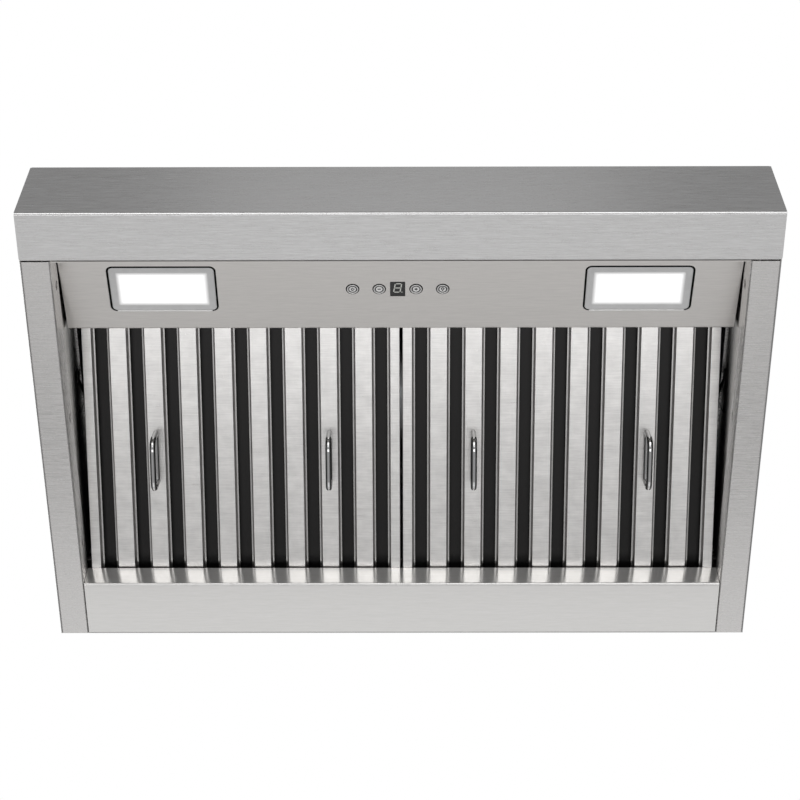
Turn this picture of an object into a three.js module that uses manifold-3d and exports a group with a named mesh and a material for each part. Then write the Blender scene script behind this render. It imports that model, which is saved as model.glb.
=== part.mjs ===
// A 30 inch range hood insert: a bent stainless rim box with two lamps and push buttons on a sloped
// panel, two baffle filters with wire handles that swing down at the front, and above them a housing
// with a double-inlet blower, a duct collar and its two damper flaps.
//
// Millimetres. +X right, +Z up. Every piece is laid out from the front bottom edge of the hood, with Y
// running to the wall, and the whole is then moved so that the origin is the middle of the base.

import * as THREE from 'three';
import { mergeVertices } from 'three/addons/utils/BufferGeometryUtils.js';
import Module from 'manifold-3d';

const wasm = await Module();
wasm.setup();

// ---------------------------------------------------------------- driving dimensions

const GAP = 0.3; // between pieces that touch or fit into each other
const PAST = 1; // a cutter runs on past the sheet it cuts
const SHEET = 1.2; // steel of the shell
const THIN_SHEET = 0.8; // steel of the filters, the blower and the brackets
const BEND = 1.6; // inner radius of a bend in the shell

const WIDTH = 762;
const DEPTH = 522;
const RIM_HEIGHT = 109; // the finished front face
const LIP_DEPTH = 54; // underside of the front panel
const LIP_HEM = 12; // turned up at the lip's rear edge
const SIDE_RIM = 31; // underside of a side panel
const SIDE_RETURN = 33; // height of a side panel's inner return
const SIDE_HEM = 10; // turned down outside, under the top flange
const HOLE_DIAMETER = 10; // of the three holes in each side return
const HOLE_HEIGHT = 22;
const FIRST_HOLE = 92; // from the front
const LAST_HOLE = 110; // from the back
const MIDDLE_HOLE_FORWARD = 11; // of the middle of the depth
const LINER_OVERLAP = 19; // of a side liner and the side return
const REAR_STRIP = 69; // underside of the rear panel
const REAR_RETURN = 30; // height of the wall in front of the grease trough

const PANEL_SLOPE = 13.6; // degrees, rising to the rear
const PANEL_REAR = 162; // from the front face to the panel's rear wall
const PANEL_REAR_HEIGHT = 55.5; // of the bend at the panel's rear edge
const PANEL_END_GAP = 1; // between the panel's ends and the side returns
const PANEL_FLANGE = 14; // under the deck

const LAMP_WIDTH = 112;
const LAMP_LENGTH = 61;
const LAMP_CORNER = 6.5;
const LAMP_FROM_SIDE = 105; // from a side return to the lamp's middle
const LAMP_DEPTH = 22;
const LAMP_FORWARD = 0.6; // of the panel's middle
const LENS_RECESS = 0.2; // behind the panel's face
const LENS_THICKNESS = 2.8;
const LENS_SEAT = 3; // width of the rim behind the lens, and its inset and height
const CAN_FLANGE = 6; // at least, all round the can
const EMITTER = 5;
const EMITTER_PITCH = 24;
const EMITTER_ROWS = 22; // apart
const EMITTER_COLUMNS = 4;
const BOARD_SHEET = 1.6; // of every circuit board
const BOARD_MARGIN = 8; // from the lens's edge to the lamp board's

const BUTTON_DIAMETER = 13.6;
const BUTTON_OFFSETS = [-46.4, -19, 19, 46.4]; // from the display
const BUTTON_NAMES = ['button_power', 'button_minus', 'button_plus', 'button_light'];
const BUTTON_TRAVEL = 1.2;
const CONTROLS_OFFSET = -3; // from the middle to the display
const DISPLAY_WIDTH = 15;
const DISPLAY_LENGTH = 19.4;
const DISPLAY_CORNER = 0.5;
const DISPLAY_BORDER = 1.2; // round the digit's case
const BOARD_LIFT = 10; // from the panel's back to the control board
const SWITCH_SIZE = 6;
const SWITCH_HEIGHT = 4;
const CONTROL_BOARD_LENGTH = 30;
const CONTROL_BOARD_MARGIN = 17.6; // from the last button's middle to the board's end
const TRAY_WALL = 1.8;
const TRAY_HEIGHT = 8; // above the board
const TRAY_EAR = 12;

const FILTER_SLOPE = 15.5; // degrees, falling to the rear
const FILTER_FRONT_GAP = 16; // level, from the panel's rear wall to the filters
const FILTER_TUCK = 17; // of the length lies behind the trough wall
const FILTER_SIDE_GAP = 5; // from a filter to the side return
const FILTER_MIDDLE_GAP = 3; // between the two filters
const FILTER_THICKNESS = 18;
const FILTER_BARS = 8; // whole bars in the face of one filter
const BAR_WIDTH = 18.9;
const BAR_DEPTH = 6.5;
const BAR_BRIM = 2.8;
const BAR_DRAFT = 0.6; // a bar's cheeks draw in this much
const BRIM_RISE = 2.5; // of a brim, inwards
const CHANNEL_OVERLAP = 2.2; // of a rear channel behind each bar beside it
const CHANNEL_DRAFT = 1.2;
const CHANNEL_CLEAR = 3.4; // from the bars' cheeks in to the rear channels
const HALF_BAR = 10.7; // the frame's side faces
const END_CHANNEL = 12.4;

const SPRING_FROM_FRONT = 60; // along the filter
const SPRING_UNDER_DECK = 18; // at least, from the rim's top
const SPRING_FOOT = 12;
const SPRING_RISE = 14; // length of each ramp
const SPRING_CREST = 8;
const SPRING_EDGE = 3; // from the filter's face to the strip
const SPRING_WIDTH = 12;
const STOP_DROP = 25; // from the rim's top to the stop's upper edge
const STOP_REACH = 16; // behind the filters' front edge

const HANDLE_ROD = 6.3;
const HANDLE_BASE_ROD = 5.2; // closes the handle along the filter's face
const HANDLE_LENGTH = 61;
const HANDLE_REACH = 38;
const HANDLE_CORNER = 11;
const HANDLE_BAR = 2; // it stands on the second whole bar from each side
const HANDLE_FROM_PIVOT = 130; // along the filter

const HOUSING_OVER_DECK = 10; // its front wall stands on the deck, this far from its rear edge
const HOUSING_INSET = 22; // from the back wall to the housing's
const HOUSING_OVERLAP = 2; // outside the side returns
const HOUSING_CHAMFER = 44;
const HOUSING_STEP = 45; // height of the upright part of its front wall
const FOOT = 18;

const DUCT_DIAMETER = 152;
const DUCT_HEIGHT = 46;
const DUCT_FLANGE = 16;
const DUCT_FORWARD = 3; // of the middle of the housing's flat top
const DUCT_LEDGE = 3; // the hole in the housing's top is this much smaller all round
const COLLAR_BEAD = 2.8; // the flaps rest on it
const DAMPER_LIFT = 20; // from the housing's top to the damper rod
const DAMPER_ROD = 4;
const FLAP_SHEET = 1;
const FLAP_GAP = 1; // round a flap, and between its knuckles and the other flap's
const KNUCKLE_LENGTH = 16;
const KNUCKLE_START = 24; // from the middle to the first knuckle

const WHEEL_DIAMETER = 120;
const WHEEL_WIDTH = 104;
const WHEEL_BLADES = 24;
const BLADE_LENGTH = 10; // from the wheel's rim inwards
const BLADE_CURVE = 9.2; // degrees that a blade's outer edge leads its inner one
const WHEEL_RING = 3; // thickness of the end rings
const WHEEL_RING_LENGTH = 4;
const HUB_DIAMETER = 24;
const HUB_LENGTH = 28;
const WHEEL_OVER_RIM = 8; // from the rim's top to the scroll at its cut-off
const SCROLL_WIDTH = 124;
const SCROLL_MARGIN = 5; // round the wheel at the cut-off
const SCROLL_GROWTH = 21; // from the cut-off to the outlet
const OUTLET_NECK = 18; // from the wheel's top to the housing's
const CUT_OFF_ANGLE = 78; // degrees
const INLET_STEP = 8; // from the wheel's rim in to the edge of an inlet
const RING_PROUD = 5; // of the scroll's side
const RING_REACH = 8; // of an inlet ring outside the inlet
const SHAFT_DIAMETER = 8;
const MOTOR_DIAMETER = 84;
const MOTOR_LENGTH = 62;
const MOTOR_CLEAR = 9; // from the scroll's side to the motor
const MOTOR_BOSS = 26;
const BOSS_LENGTH = 5;
const BRACKET_WIDTH = 14;
const BRACKET_SHEET = 3;
const BRACKET_PAD = 9;
const STRAP_WIDTH = 18;
const STRAP_SHEET = 1.5;
const CAPACITOR_DIAMETER = 34;
const CAPACITOR_LENGTH = 60;
const CAPACITOR_FROM_SIDE = 122; // from the housing's side wall
const CAPACITOR_FORWARD = 65; // of the duct
const CAPACITOR_UNDER_TOP = 30;
const CLIP_WIDTH = 20;
const CLIP_TAB = 16;
const GLAND_RADIUS = 10;
const GLAND_WALL = 3;
const GLAND_RIM = 4; // outside its hole
const GLAND_HEIGHT = 8; // above the housing's top, and below the box's roof
const GLAND_FROM_SIDE = 52; // from the housing's side wall
const GLAND_FROM_REAR = 45; // from the housing's rear wall
const BOX_WIDTH = 90;
const BOX_LENGTH = 75;
const BOX_HEIGHT = 52;
const BOX_MARGIN = 40; // from the box's left and front walls to the gland
const COVER_SKIRT = 6;
const DRIVER_WIDTH = 100;
const DRIVER_LENGTH = 40;
const DRIVER_HEIGHT = 28;
const DRIVER_FROM_GLAND = 130;
const DRIVER_FORWARD = 10;
const EAR_LENGTH = 12;
const EAR_WIDTH = 16;

// ---------------------------------------------------------------- worked out from those

const HALF_WIDTH = WIDTH / 2;
const SIDE_INNER = HALF_WIDTH - SIDE_RIM; // visible face of a side return
const TROUGH_WALL = DEPTH - REAR_STRIP;
const DECK_DEPTH = PANEL_REAR;
const PANEL_MIDDLE = (LIP_DEPTH + PANEL_REAR) / 2;
const LAMP_OFFSET = SIDE_INNER - LAMP_FROM_SIDE;
const RETURN_HOLES = [FIRST_HOLE, DEPTH / 2 - MIDDLE_HOLE_FORWARD, DEPTH - LAST_HOLE]; // from the front
const PIVOT_HEIGHT = REAR_RETURN + GAP + SHEET / 2 * Math.tan(radians(FILTER_SLOPE));
const FILTER_INNER_EDGE = FILTER_MIDDLE_GAP / 2;
const FILTER_OUTER_EDGE = SIDE_INNER - FILTER_SIDE_GAP;
const FILTER_LEVEL_LENGTH = TROUGH_WALL + SHEET / 2 - PANEL_REAR - FILTER_FRONT_GAP;
const FILTER_LENGTH = FILTER_TUCK + FILTER_LEVEL_LENGTH / Math.cos(radians(FILTER_SLOPE));
const FILTER_FRONT = FILTER_TUCK - FILTER_LENGTH; // along the filter, from its pivot
const BAR_PITCH = (FILTER_OUTER_EDGE - FILTER_INNER_EDGE - 2 * HALF_BAR + BAR_WIDTH) / (FILTER_BARS + 1);
const BAR_GAP = BAR_PITCH - BAR_WIDTH;
const WHEEL_RADIUS = WHEEL_DIAMETER / 2;
const INLET_DIAMETER = WHEEL_DIAMETER - 2 * INLET_STEP;
const SCROLL_START = WHEEL_RADIUS + SCROLL_MARGIN;
const SCROLL_END = SCROLL_START + SCROLL_GROWTH;
const WHEEL_HEIGHT = RIM_HEIGHT + SCROLL_START + WHEEL_OVER_RIM;
const HOUSING_TOP = WHEEL_HEIGHT + WHEEL_RADIUS + OUTLET_NECK;
const HOUSING_FRONT = DECK_DEPTH - HOUSING_OVER_DECK;
const HOUSING_REAR = DEPTH - HOUSING_INSET;
const HOUSING_HALF_WIDTH = SIDE_INNER + HOUSING_OVERLAP;
const REAR_FLANGE = HOUSING_INSET + 2; // carries the foot of the housing's rear wall
const DUCT_FROM_FRONT = (HOUSING_FRONT + HOUSING_CHAMFER + HOUSING_REAR) / 2 - DUCT_FORWARD;
const CUT_OFF_OUT = SCROLL_START * Math.cos(radians(CUT_OFF_ANGLE));
const WHEEL_FROM_FRONT = DUCT_FROM_FRONT - (SCROLL_END + CUT_OFF_OUT) / 2;
const SCROLL_TOP = HOUSING_TOP - SHEET - GAP;
const GLAND_PLACE = [GLAND_FROM_SIDE - HOUSING_HALF_WIDTH, HOUSING_REAR - GLAND_FROM_REAR];
const CEILING = SCROLL_TOP; // where parts hang under the housing's top
// The spring bears on the side liner, so it stays under the deck however high the filter's front is.
const SPRING_START = Math.max(
  FILTER_FRONT + SPRING_FROM_FRONT,
  (PIVOT_HEIGHT + SPRING_UNDER_DECK - RIM_HEIGHT) / Math.sin(radians(FILTER_SLOPE)));
const HANDLE_OFFSET = HALF_BAR + HANDLE_BAR * BAR_PITCH - BAR_WIDTH / 2;

function radians(degrees) {
  return THREE.MathUtils.degToRad(degrees);
}

// ---------------------------------------------------------------- finishes

function finish(color, roughness, metalness) {
  return new THREE.MeshStandardMaterial({ color, roughness, metalness });
}

const BRUSHED_STEEL = finish(0xb9b8b5, 0.34, 1);
const FILTER_STEEL = finish(0xd2d1cc, 0.3, 1);
const CHROME = finish(0xe6e6e6, 0.08, 1);
const ZINC_STEEL = finish(0x9aa0a3, 0.48, 1);
const FROSTED_LENS = finish(0xf2f4f4, 0.45, 0);
const DARK_GLASS = finish(0x2b2d30, 0.12, 0);
const CIRCUIT_BOARD = finish(0x2c5a3c, 0.6, 0);
const WHITE_PLASTIC = finish(0xdedcd6, 0.5, 0);
const BLACK_PLASTIC = finish(0x26272a, 0.55, 0);
const ALUMINIUM = finish(0xaeb1b4, 0.42, 1);
const MOTOR_PAINT = finish(0x3a3d42, 0.5, 0.4);

// ---------------------------------------------------------------- solids

function toSolid(geometry) {
  const bare = geometry.clone();
  bare.deleteAttribute('normal');
  bare.deleteAttribute('uv');
  const merged = mergeVertices(bare, 1e-4);
  return new wasm.Manifold(new wasm.Mesh({
    numProp: 3,
    vertProperties: new Float32Array(merged.attributes.position.array),
    triVerts: new Uint32Array(merged.index.array),
  }));
}

function toGeometry(solid) {
  const mesh = solid.getMesh();
  const geometry = new THREE.BufferGeometry();
  geometry.setAttribute('position', new THREE.BufferAttribute(mesh.vertProperties, 3));
  geometry.setIndex(new THREE.BufferAttribute(mesh.triVerts, 1));
  return geometry;
}

function joined(solids) {
  return solids.reduce((whole, solid) => whole.add(solid));
}

function cut(solid, cutters) {
  return cutters.reduce((rest, cutter) => rest.subtract(cutter), solid);
}

function block([x0, x1], [y0, y1], [z0, z1]) {
  const geometry = new THREE.BoxGeometry(x1 - x0, y1 - y0, z1 - z0);
  geometry.translate((x0 + x1) / 2, (y0 + y1) / 2, (z0 + z1) / 2);
  return toSolid(geometry);
}

// Stands on its own middle: half its width and half its length, then its two heights.
function plate([halfX, halfY], heights, [x, y] = [0, 0]) {
  return block([x - halfX, x + halfX], [y - halfY, y + halfY], heights);
}

function rod(axis, radius, from, to, sides = 24, centre = [0, 0]) {
  return revolved(axis, [[0, from], [radius, from], [radius, to], [0, to]], sides, centre);
}

// A profile of [radius, height] points, anticlockwise, turned about an axis that stands at centre.
function revolved(axis, profile, sides, centre = [0, 0]) {
  const points = profile.map(([r, h]) => new THREE.Vector2(r, h));
  if (profile[0][0] > 0) points.push(points[0].clone());
  const geometry = new THREE.LatheGeometry(points, sides);
  if (axis === 'x') geometry.rotateZ(-Math.PI / 2).translate(0, centre[0], centre[1]);
  if (axis === 'y') geometry.translate(centre[0], 0, centre[1]);
  if (axis === 'z') geometry.rotateX(Math.PI / 2).translate(centre[0], centre[1], 0);
  return toSolid(geometry);
}

// Extrusion of an outline. Along x the outline is [y, z], along y it is [x, z], along z it is [x, y].
function extruded(axis, outline, from, to) {
  const isShape = outline instanceof THREE.Shape;
  const shape = isShape ? outline : new THREE.Shape(outline.map(([a, b]) => new THREE.Vector2(a, b)));
  const options = { depth: to - from, bevelEnabled: false, curveSegments: 4 };
  const geometry = new THREE.ExtrudeGeometry(shape, options);
  const frames = {
    x: [new THREE.Vector3(0, 1, 0), new THREE.Vector3(0, 0, 1), new THREE.Vector3(1, 0, 0), from],
    y: [new THREE.Vector3(1, 0, 0), new THREE.Vector3(0, 0, 1), new THREE.Vector3(0, -1, 0), to],
    z: [new THREE.Vector3(1, 0, 0), new THREE.Vector3(0, 1, 0), new THREE.Vector3(0, 0, 1), from],
  };
  const [across, up, along, start] = frames[axis];
  geometry.applyMatrix4(new THREE.Matrix4().makeBasis(across, up, along));
  const place = { x: [start, 0, 0], y: [0, start, 0], z: [0, 0, start] }[axis];
  geometry.translate(...place);
  return toSolid(geometry);
}

// Rounds each inner corner of a path; the bend's inner radius is the same on whichever side it turns.
function roundedPath(path, thickness, side, radius, steps) {
  const rounded = [path[0]];
  for (let i = 1; i < path.length - 1; i++) {
    const corner = new THREE.Vector2(...path[i]);
    const back = new THREE.Vector2(...path[i - 1]).sub(corner).normalize();
    const ahead = new THREE.Vector2(...path[i + 1]).sub(corner).normalize();
    const turn = back.x * ahead.y - back.y * ahead.x;
    const bend = Math.PI - Math.acos(THREE.MathUtils.clamp(back.dot(ahead), -1, 1));
    const bendRadius = turn * side < 0 ? radius + thickness : radius;
    const reach = bendRadius * Math.tan(bend / 2);
    const toCentre = back.clone().add(ahead).normalize();
    const centre = toCentre.multiplyScalar(bendRadius / Math.cos(bend / 2)).add(corner);
    const spoke = back.clone().multiplyScalar(reach).add(corner).sub(centre);
    for (let step = 0; step <= steps; step++) {
      const swing = -Math.sign(turn) * bend * step / steps;
      const point = spoke.clone().rotateAround(new THREE.Vector2(), swing).add(centre);
      rounded.push([point.x, point.y]);
    }
  }
  rounded.push(path[path.length - 1]);
  return rounded;
}

// The outline of a sheet bent along a path that runs on its visible face. The thickness lies to the
// left of the path where side is 1, and to its right where side is -1.
function bentSheet(path, thickness, side, radius = BEND, steps = 3) {
  const face = roundedPath(path, thickness, side, radius, steps);
  const back = face.map((point, i) => {
    const normals = [];
    for (const [a, b] of [[i - 1, i], [i, i + 1]]) {
      if (a < 0 || b >= face.length) continue;
      const along = new THREE.Vector2(face[b][0] - face[a][0], face[b][1] - face[a][1]).normalize();
      normals.push(new THREE.Vector2(-along.y, along.x).multiplyScalar(side));
    }
    const mitre = normals[0].clone();
    if (normals.length === 2) mitre.add(normals[1]).divideScalar(1 + normals[0].dot(normals[1]));
    return [point[0] + mitre.x * thickness, point[1] + mitre.y * thickness];
  });
  return [...face, ...back.reverse()];
}

function roundedRectangle(width, length, corner) {
  const x = width / 2;
  const y = length / 2;
  const shape = new THREE.Shape();
  shape.moveTo(-x + corner, -y);
  shape.lineTo(x - corner, -y);
  shape.absarc(x - corner, -y + corner, corner, -Math.PI / 2, 0);
  shape.lineTo(x, y - corner);
  shape.absarc(x - corner, y - corner, corner, 0, Math.PI / 2);
  shape.lineTo(-x + corner, y);
  shape.absarc(-x + corner, y - corner, corner, Math.PI / 2, Math.PI);
  shape.lineTo(-x, -y + corner);
  shape.absarc(-x + corner, -y + corner, corner, Math.PI, Math.PI * 1.5);
  return shape;
}

function mirrored(solid) {
  return solid.mirror([1, 0, 0]);
}

// ---------------------------------------------------------------- the tree of pieces

const hood = new THREE.Group();
hood.position.y = -DEPTH / 2;

const panelFrame = new THREE.Group();
panelFrame.position.set(0, PANEL_REAR, PANEL_REAR_HEIGHT);
panelFrame.rotation.x = radians(PANEL_SLOPE);

const filterFrame = new THREE.Group();
filterFrame.position.set(0, TROUGH_WALL + SHEET / 2, PIVOT_HEIGHT);
filterFrame.rotation.x = -radians(FILTER_SLOPE);

hood.add(panelFrame, filterFrame);

function addPiece(group, name, solid, material) {
  const mesh = new THREE.Mesh(toGeometry(solid), material);
  mesh.name = name;
  group.add(mesh);
}

function addPair(group, name, leftSolid, material) {
  addPiece(group, `${name}_left`, leftSolid, material);
  addPiece(group, `${name}_right`, mirrored(leftSolid), material);
}

// ---------------------------------------------------------------- shell

// Face, underside lip with its upturned hem, and the deck over the lamps, bent from one sheet.
function frontPanel() {
  const inside = HALF_WIDTH - SHEET - GAP;
  const bends = [[DECK_DEPTH, RIM_HEIGHT], [0, RIM_HEIGHT], [0, 0], [LIP_DEPTH, 0], [LIP_DEPTH, LIP_HEM]];
  const wrap = extruded('x', bentSheet(bends, SHEET, 1), -inside, inside);
  const faceOnly = [[0, RIM_HEIGHT - SHEET - BEND], [0, 0], [LIP_DEPTH - SHEET - BEND, 0]];
  const face = extruded('x', bentSheet(faceOnly, SHEET, 1), -HALF_WIDTH, HALF_WIDTH);
  return wrap.add(face);
}

// Outer wall, underside and inner return of the left side, with the return's three holes.
function sidePanel() {
  const rear = DEPTH - SHEET - GAP;
  const bends = [
    [-HALF_WIDTH, RIM_HEIGHT],
    [-HALF_WIDTH, 0],
    [-SIDE_INNER, 0],
    [-SIDE_INNER, SIDE_RETURN],
  ];
  const channel = extruded('y', bentSheet(bends, SHEET, 1), LIP_DEPTH + GAP, rear);
  const wall = [-HALF_WIDTH, -HALF_WIDTH + SHEET];
  const clearOfBend = SHEET + BEND / 2;
  const behindFace = block(wall, [clearOfBend, LIP_DEPTH + GAP + SHEET], [clearOfBend, RIM_HEIGHT - BEND]);
  const flangeBends = [
    [-SIDE_INNER, RIM_HEIGHT],
    [-HALF_WIDTH, RIM_HEIGHT],
    [-HALF_WIDTH, RIM_HEIGHT - SIDE_HEM],
  ];
  const flange = extruded(
    'y', bentSheet(flangeBends, SHEET, 1), DECK_DEPTH + GAP, DEPTH - REAR_FLANGE - GAP);
  const holes = RETURN_HOLES.map((fromFront) => rod(
    'x', HOLE_DIAMETER / 2, -SIDE_INNER - SHEET - PAST, -SIDE_INNER + PAST, 16, [fromFront, HOLE_HEIGHT]));
  return cut(joined([channel, behindFace, flange]), holes);
}

// Trough wall, rear strip and back wall, with a flange that carries the housing.
function rearPanel() {
  const strip = SIDE_INNER - GAP;
  const inside = HALF_WIDTH - SHEET - GAP;
  const troughBends = [[TROUGH_WALL, REAR_RETURN], [TROUGH_WALL, 0], [DEPTH, 0], [DEPTH, REAR_RETURN]];
  const trough = extruded('x', bentSheet(troughBends, SHEET, 1), -strip, strip);
  const back = block([-HALF_WIDTH, HALF_WIDTH], [DEPTH - SHEET, DEPTH], [BEND, RIM_HEIGHT - BEND]);
  const flangeBends = [[DEPTH, REAR_RETURN], [DEPTH, RIM_HEIGHT], [DEPTH - REAR_FLANGE, RIM_HEIGHT]];
  const flange = extruded('x', bentSheet(flangeBends, SHEET, 1), -inside, inside);
  return joined([trough, back, flange]);
}

// The plate behind a side return that closes the hollow up to the housing.
function sideLiner() {
  const outside = -SIDE_INNER - SHEET - GAP;
  return block(
    [outside - SHEET, outside],
    [LIP_DEPTH + SHEET + GAP, TROUGH_WALL - GAP],
    [SIDE_RETURN - LINER_OVERLAP, RIM_HEIGHT - SHEET - GAP]);
}

// Front wall with its chamfer, top and rear wall bent from one sheet, and two welded end walls.
function upperHousing() {
  const base = RIM_HEIGHT + GAP;
  const outline = [
    [HOUSING_FRONT, base],
    [HOUSING_FRONT, base + HOUSING_STEP],
    [HOUSING_FRONT + HOUSING_CHAMFER, HOUSING_TOP],
    [HOUSING_REAR, HOUSING_TOP],
    [HOUSING_REAR, base],
  ];
  const footTop = base + SHEET;
  const bends = [
    [HOUSING_FRONT - FOOT, footTop],
    [HOUSING_FRONT, footTop],
    ...outline.slice(1, 4),
    [HOUSING_REAR, footTop],
    [HOUSING_REAR + FOOT, footTop],
  ];
  const wrap = extruded('x', bentSheet(bends, SHEET, -1), -HOUSING_HALF_WIDTH, HOUSING_HALF_WIDTH);
  const endOutline = roundedPath(outline, SHEET, -1, BEND, 3);
  const end = extruded('x', endOutline, -HOUSING_HALF_WIDTH, -HOUSING_HALF_WIDTH + SHEET);
  const foot = block(
    [-HOUSING_HALF_WIDTH - FOOT, -HOUSING_HALF_WIDTH + SHEET],
    [DECK_DEPTH + GAP, HOUSING_REAR - 2 * SHEET],
    [base, base + SHEET]);
  const topSheet = [HOUSING_TOP - SHEET - PAST, HOUSING_TOP + PAST];
  const ductHole = rod('z', DUCT_DIAMETER / 2 - DUCT_LEDGE, ...topSheet, 36, [0, DUCT_FROM_FRONT]);
  const inletHole = rod('z', GLAND_RADIUS, ...topSheet, 16, GLAND_PLACE);
  return cut(joined([wrap, end, mirrored(end), foot, mirrored(foot)]), [ductHole, inletHole]);
}

// ---------------------------------------------------------------- control panel and lamps

const CONTROL_Y = (PANEL_MIDDLE - PANEL_REAR) / Math.cos(radians(PANEL_SLOPE));
const LAMP_Y = (PANEL_MIDDLE - LAMP_FORWARD - PANEL_REAR) / Math.cos(radians(PANEL_SLOPE));
const BUTTON_HOLE = BUTTON_DIAMETER / 2 + GAP;
const BUTTON_FLANGE = BUTTON_DIAMETER / 2 + 1.6;
const BUTTON_PROUD = 0.5;
const BUTTON_STEM = 1.6;
const SWITCH_GAP = BUTTON_TRAVEL + GAP;
const DISPLAY_BACK = 3; // behind the panel's face
const BOARD_FRONT = SHEET + BOARD_LIFT;
const BOARD_HALF = [BUTTON_OFFSETS[3] + CONTROL_BOARD_MARGIN, CONTROL_BOARD_LENGTH / 2];
const TRAY_HALF = [BOARD_HALF[0] + 6, BOARD_HALF[1] + 4];

// A solid laid out on the panel's own slope, moved to where the panel is.
function onPanel(solid) {
  panelFrame.updateMatrix();
  const matrix = panelFrame.matrix.elements;
  return solid.transform(Array.from(matrix));
}

// Screwed to the lip's hem in front, sloped face, and a rear wall up to the deck with its flange.
function controlPanel() {
  const front = LIP_DEPTH + GAP + SHEET;
  const frontHeight = PANEL_REAR_HEIGHT - (PANEL_REAR - front) * Math.tan(radians(PANEL_SLOPE));
  const top = RIM_HEIGHT - SHEET - GAP;
  const bends = [
    [front, SHEET + GAP],
    [front, frontHeight],
    [PANEL_REAR, PANEL_REAR_HEIGHT],
    [PANEL_REAR, top],
    [PANEL_REAR - PANEL_FLANGE, top],
  ];
  const half = SIDE_INNER - PANEL_END_GAP;
  const sheet = extruded('x', bentSheet(bends, SHEET, 1), -half, half);
  const lampHoles = [-LAMP_OFFSET, LAMP_OFFSET].map((x) => through(
    roundedRectangle(LAMP_WIDTH + 2 * GAP, LAMP_LENGTH + 2 * GAP, LAMP_CORNER + GAP), x, LAMP_Y));
  const buttonHoles = BUTTON_OFFSETS.map((x) => onPanel(
    rod('z', BUTTON_HOLE, -PAST, SHEET + PAST, 18, [CONTROLS_OFFSET + x, CONTROL_Y])));
  const displayOutline = roundedRectangle(
    DISPLAY_WIDTH + 2 * GAP, DISPLAY_LENGTH + 2 * GAP, DISPLAY_CORNER + GAP);
  const displayHole = through(displayOutline, CONTROLS_OFFSET, CONTROL_Y);
  return cut(sheet, [...lampHoles, ...buttonHoles, displayHole]);
}

function through(shape, x, y) {
  return onPanel(extruded('z', shape, -PAST, SHEET + PAST).translate([x, y, 0]));
}

// Frosted cover, flush in the panel, with a rim behind it that seats on the lamp's can.
function lampLens() {
  const back = LENS_RECESS + LENS_THICKNESS;
  const inset = (by, corner) => roundedRectangle(LAMP_WIDTH - 2 * by, LAMP_LENGTH - 2 * by, corner);
  const cover = extruded('z', inset(0, LAMP_CORNER), LENS_RECESS, back);
  const seat = extruded('z', inset(LENS_SEAT, LAMP_CORNER - LENS_SEAT), back - SHEET, back + LENS_SEAT);
  const hollow = extruded('z', inset(2 * LENS_SEAT, LAMP_CORNER / 3), back - SHEET, back + LENS_SEAT + PAST);
  return cover.add(seat).subtract(hollow).translate([-LAMP_OFFSET, LAMP_Y, 0]);
}

// Open can behind the lens, with a flange that lies on the panel's back.
function lampCan() {
  const base = SHEET + GAP;
  const flange = extruded(
    'z', roundedRectangle(LAMP_WIDTH + 2 * CAN_FLANGE, LAMP_LENGTH + 2 * CAN_FLANGE, LAMP_CORNER),
    base, base + THIN_SHEET);
  const opening = roundedRectangle(LAMP_WIDTH + 2 * GAP, LAMP_LENGTH + 2 * GAP, LAMP_CORNER);
  const grown = 2 * (GAP + THIN_SHEET);
  const outside = roundedRectangle(LAMP_WIDTH + grown, LAMP_LENGTH + grown, LAMP_CORNER + THIN_SHEET);
  const can = extruded('z', outside, base, LAMP_DEPTH);
  const bore = extruded('z', opening, 0, LAMP_DEPTH - THIN_SHEET);
  return flange.add(can).subtract(bore).translate([-LAMP_OFFSET, LAMP_Y, 0]);
}

// Circuit board under the can's roof with two rows of emitters.
function lampBoard() {
  const top = LAMP_DEPTH - THIN_SHEET - GAP;
  const half = [LAMP_WIDTH / 2 - BOARD_MARGIN, LAMP_LENGTH / 2 - BOARD_MARGIN];
  const emitters = [];
  for (let column = 0; column < EMITTER_COLUMNS; column++) {
    const x = (column - (EMITTER_COLUMNS - 1) / 2) * EMITTER_PITCH;
    for (const y of [-EMITTER_ROWS / 2, EMITTER_ROWS / 2]) {
      emitters.push(plate([EMITTER / 2, EMITTER / 2], [top - BOARD_SHEET - 1, top - BOARD_SHEET], [x, y]));
    }
  }
  const board = plate(half, [top - BOARD_SHEET, top]);
  return joined([board, ...emitters]).translate([-LAMP_OFFSET, LAMP_Y, 0]);
}

// Round cap in the panel's hole, with a flange that stops behind the panel and a stem to its switch.
function button(offset) {
  const cap = BUTTON_DIAMETER / 2;
  const flangeStart = SHEET + GAP;
  const stemEnd = BOARD_FRONT - SWITCH_HEIGHT - SWITCH_GAP;
  const profile = [
    [0, -BUTTON_PROUD],
    [cap - 0.6, -BUTTON_PROUD],
    [cap, -BUTTON_PROUD + 0.5],
    [cap, flangeStart],
    [BUTTON_FLANGE, flangeStart],
    [BUTTON_FLANGE, flangeStart + 1],
    [BUTTON_STEM, flangeStart + 1],
    [BUTTON_STEM, stemEnd],
    [0, stemEnd],
  ];
  return revolved('z', profile, 18).translate([CONTROLS_OFFSET + offset, CONTROL_Y, 0]);
}

// Clear window over the digit.
function displayWindow() {
  const outline = roundedRectangle(DISPLAY_WIDTH, DISPLAY_LENGTH, DISPLAY_CORNER);
  return extruded('z', outline, LENS_RECESS, DISPLAY_BACK).translate([CONTROLS_OFFSET, CONTROL_Y, 0]);
}

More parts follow.
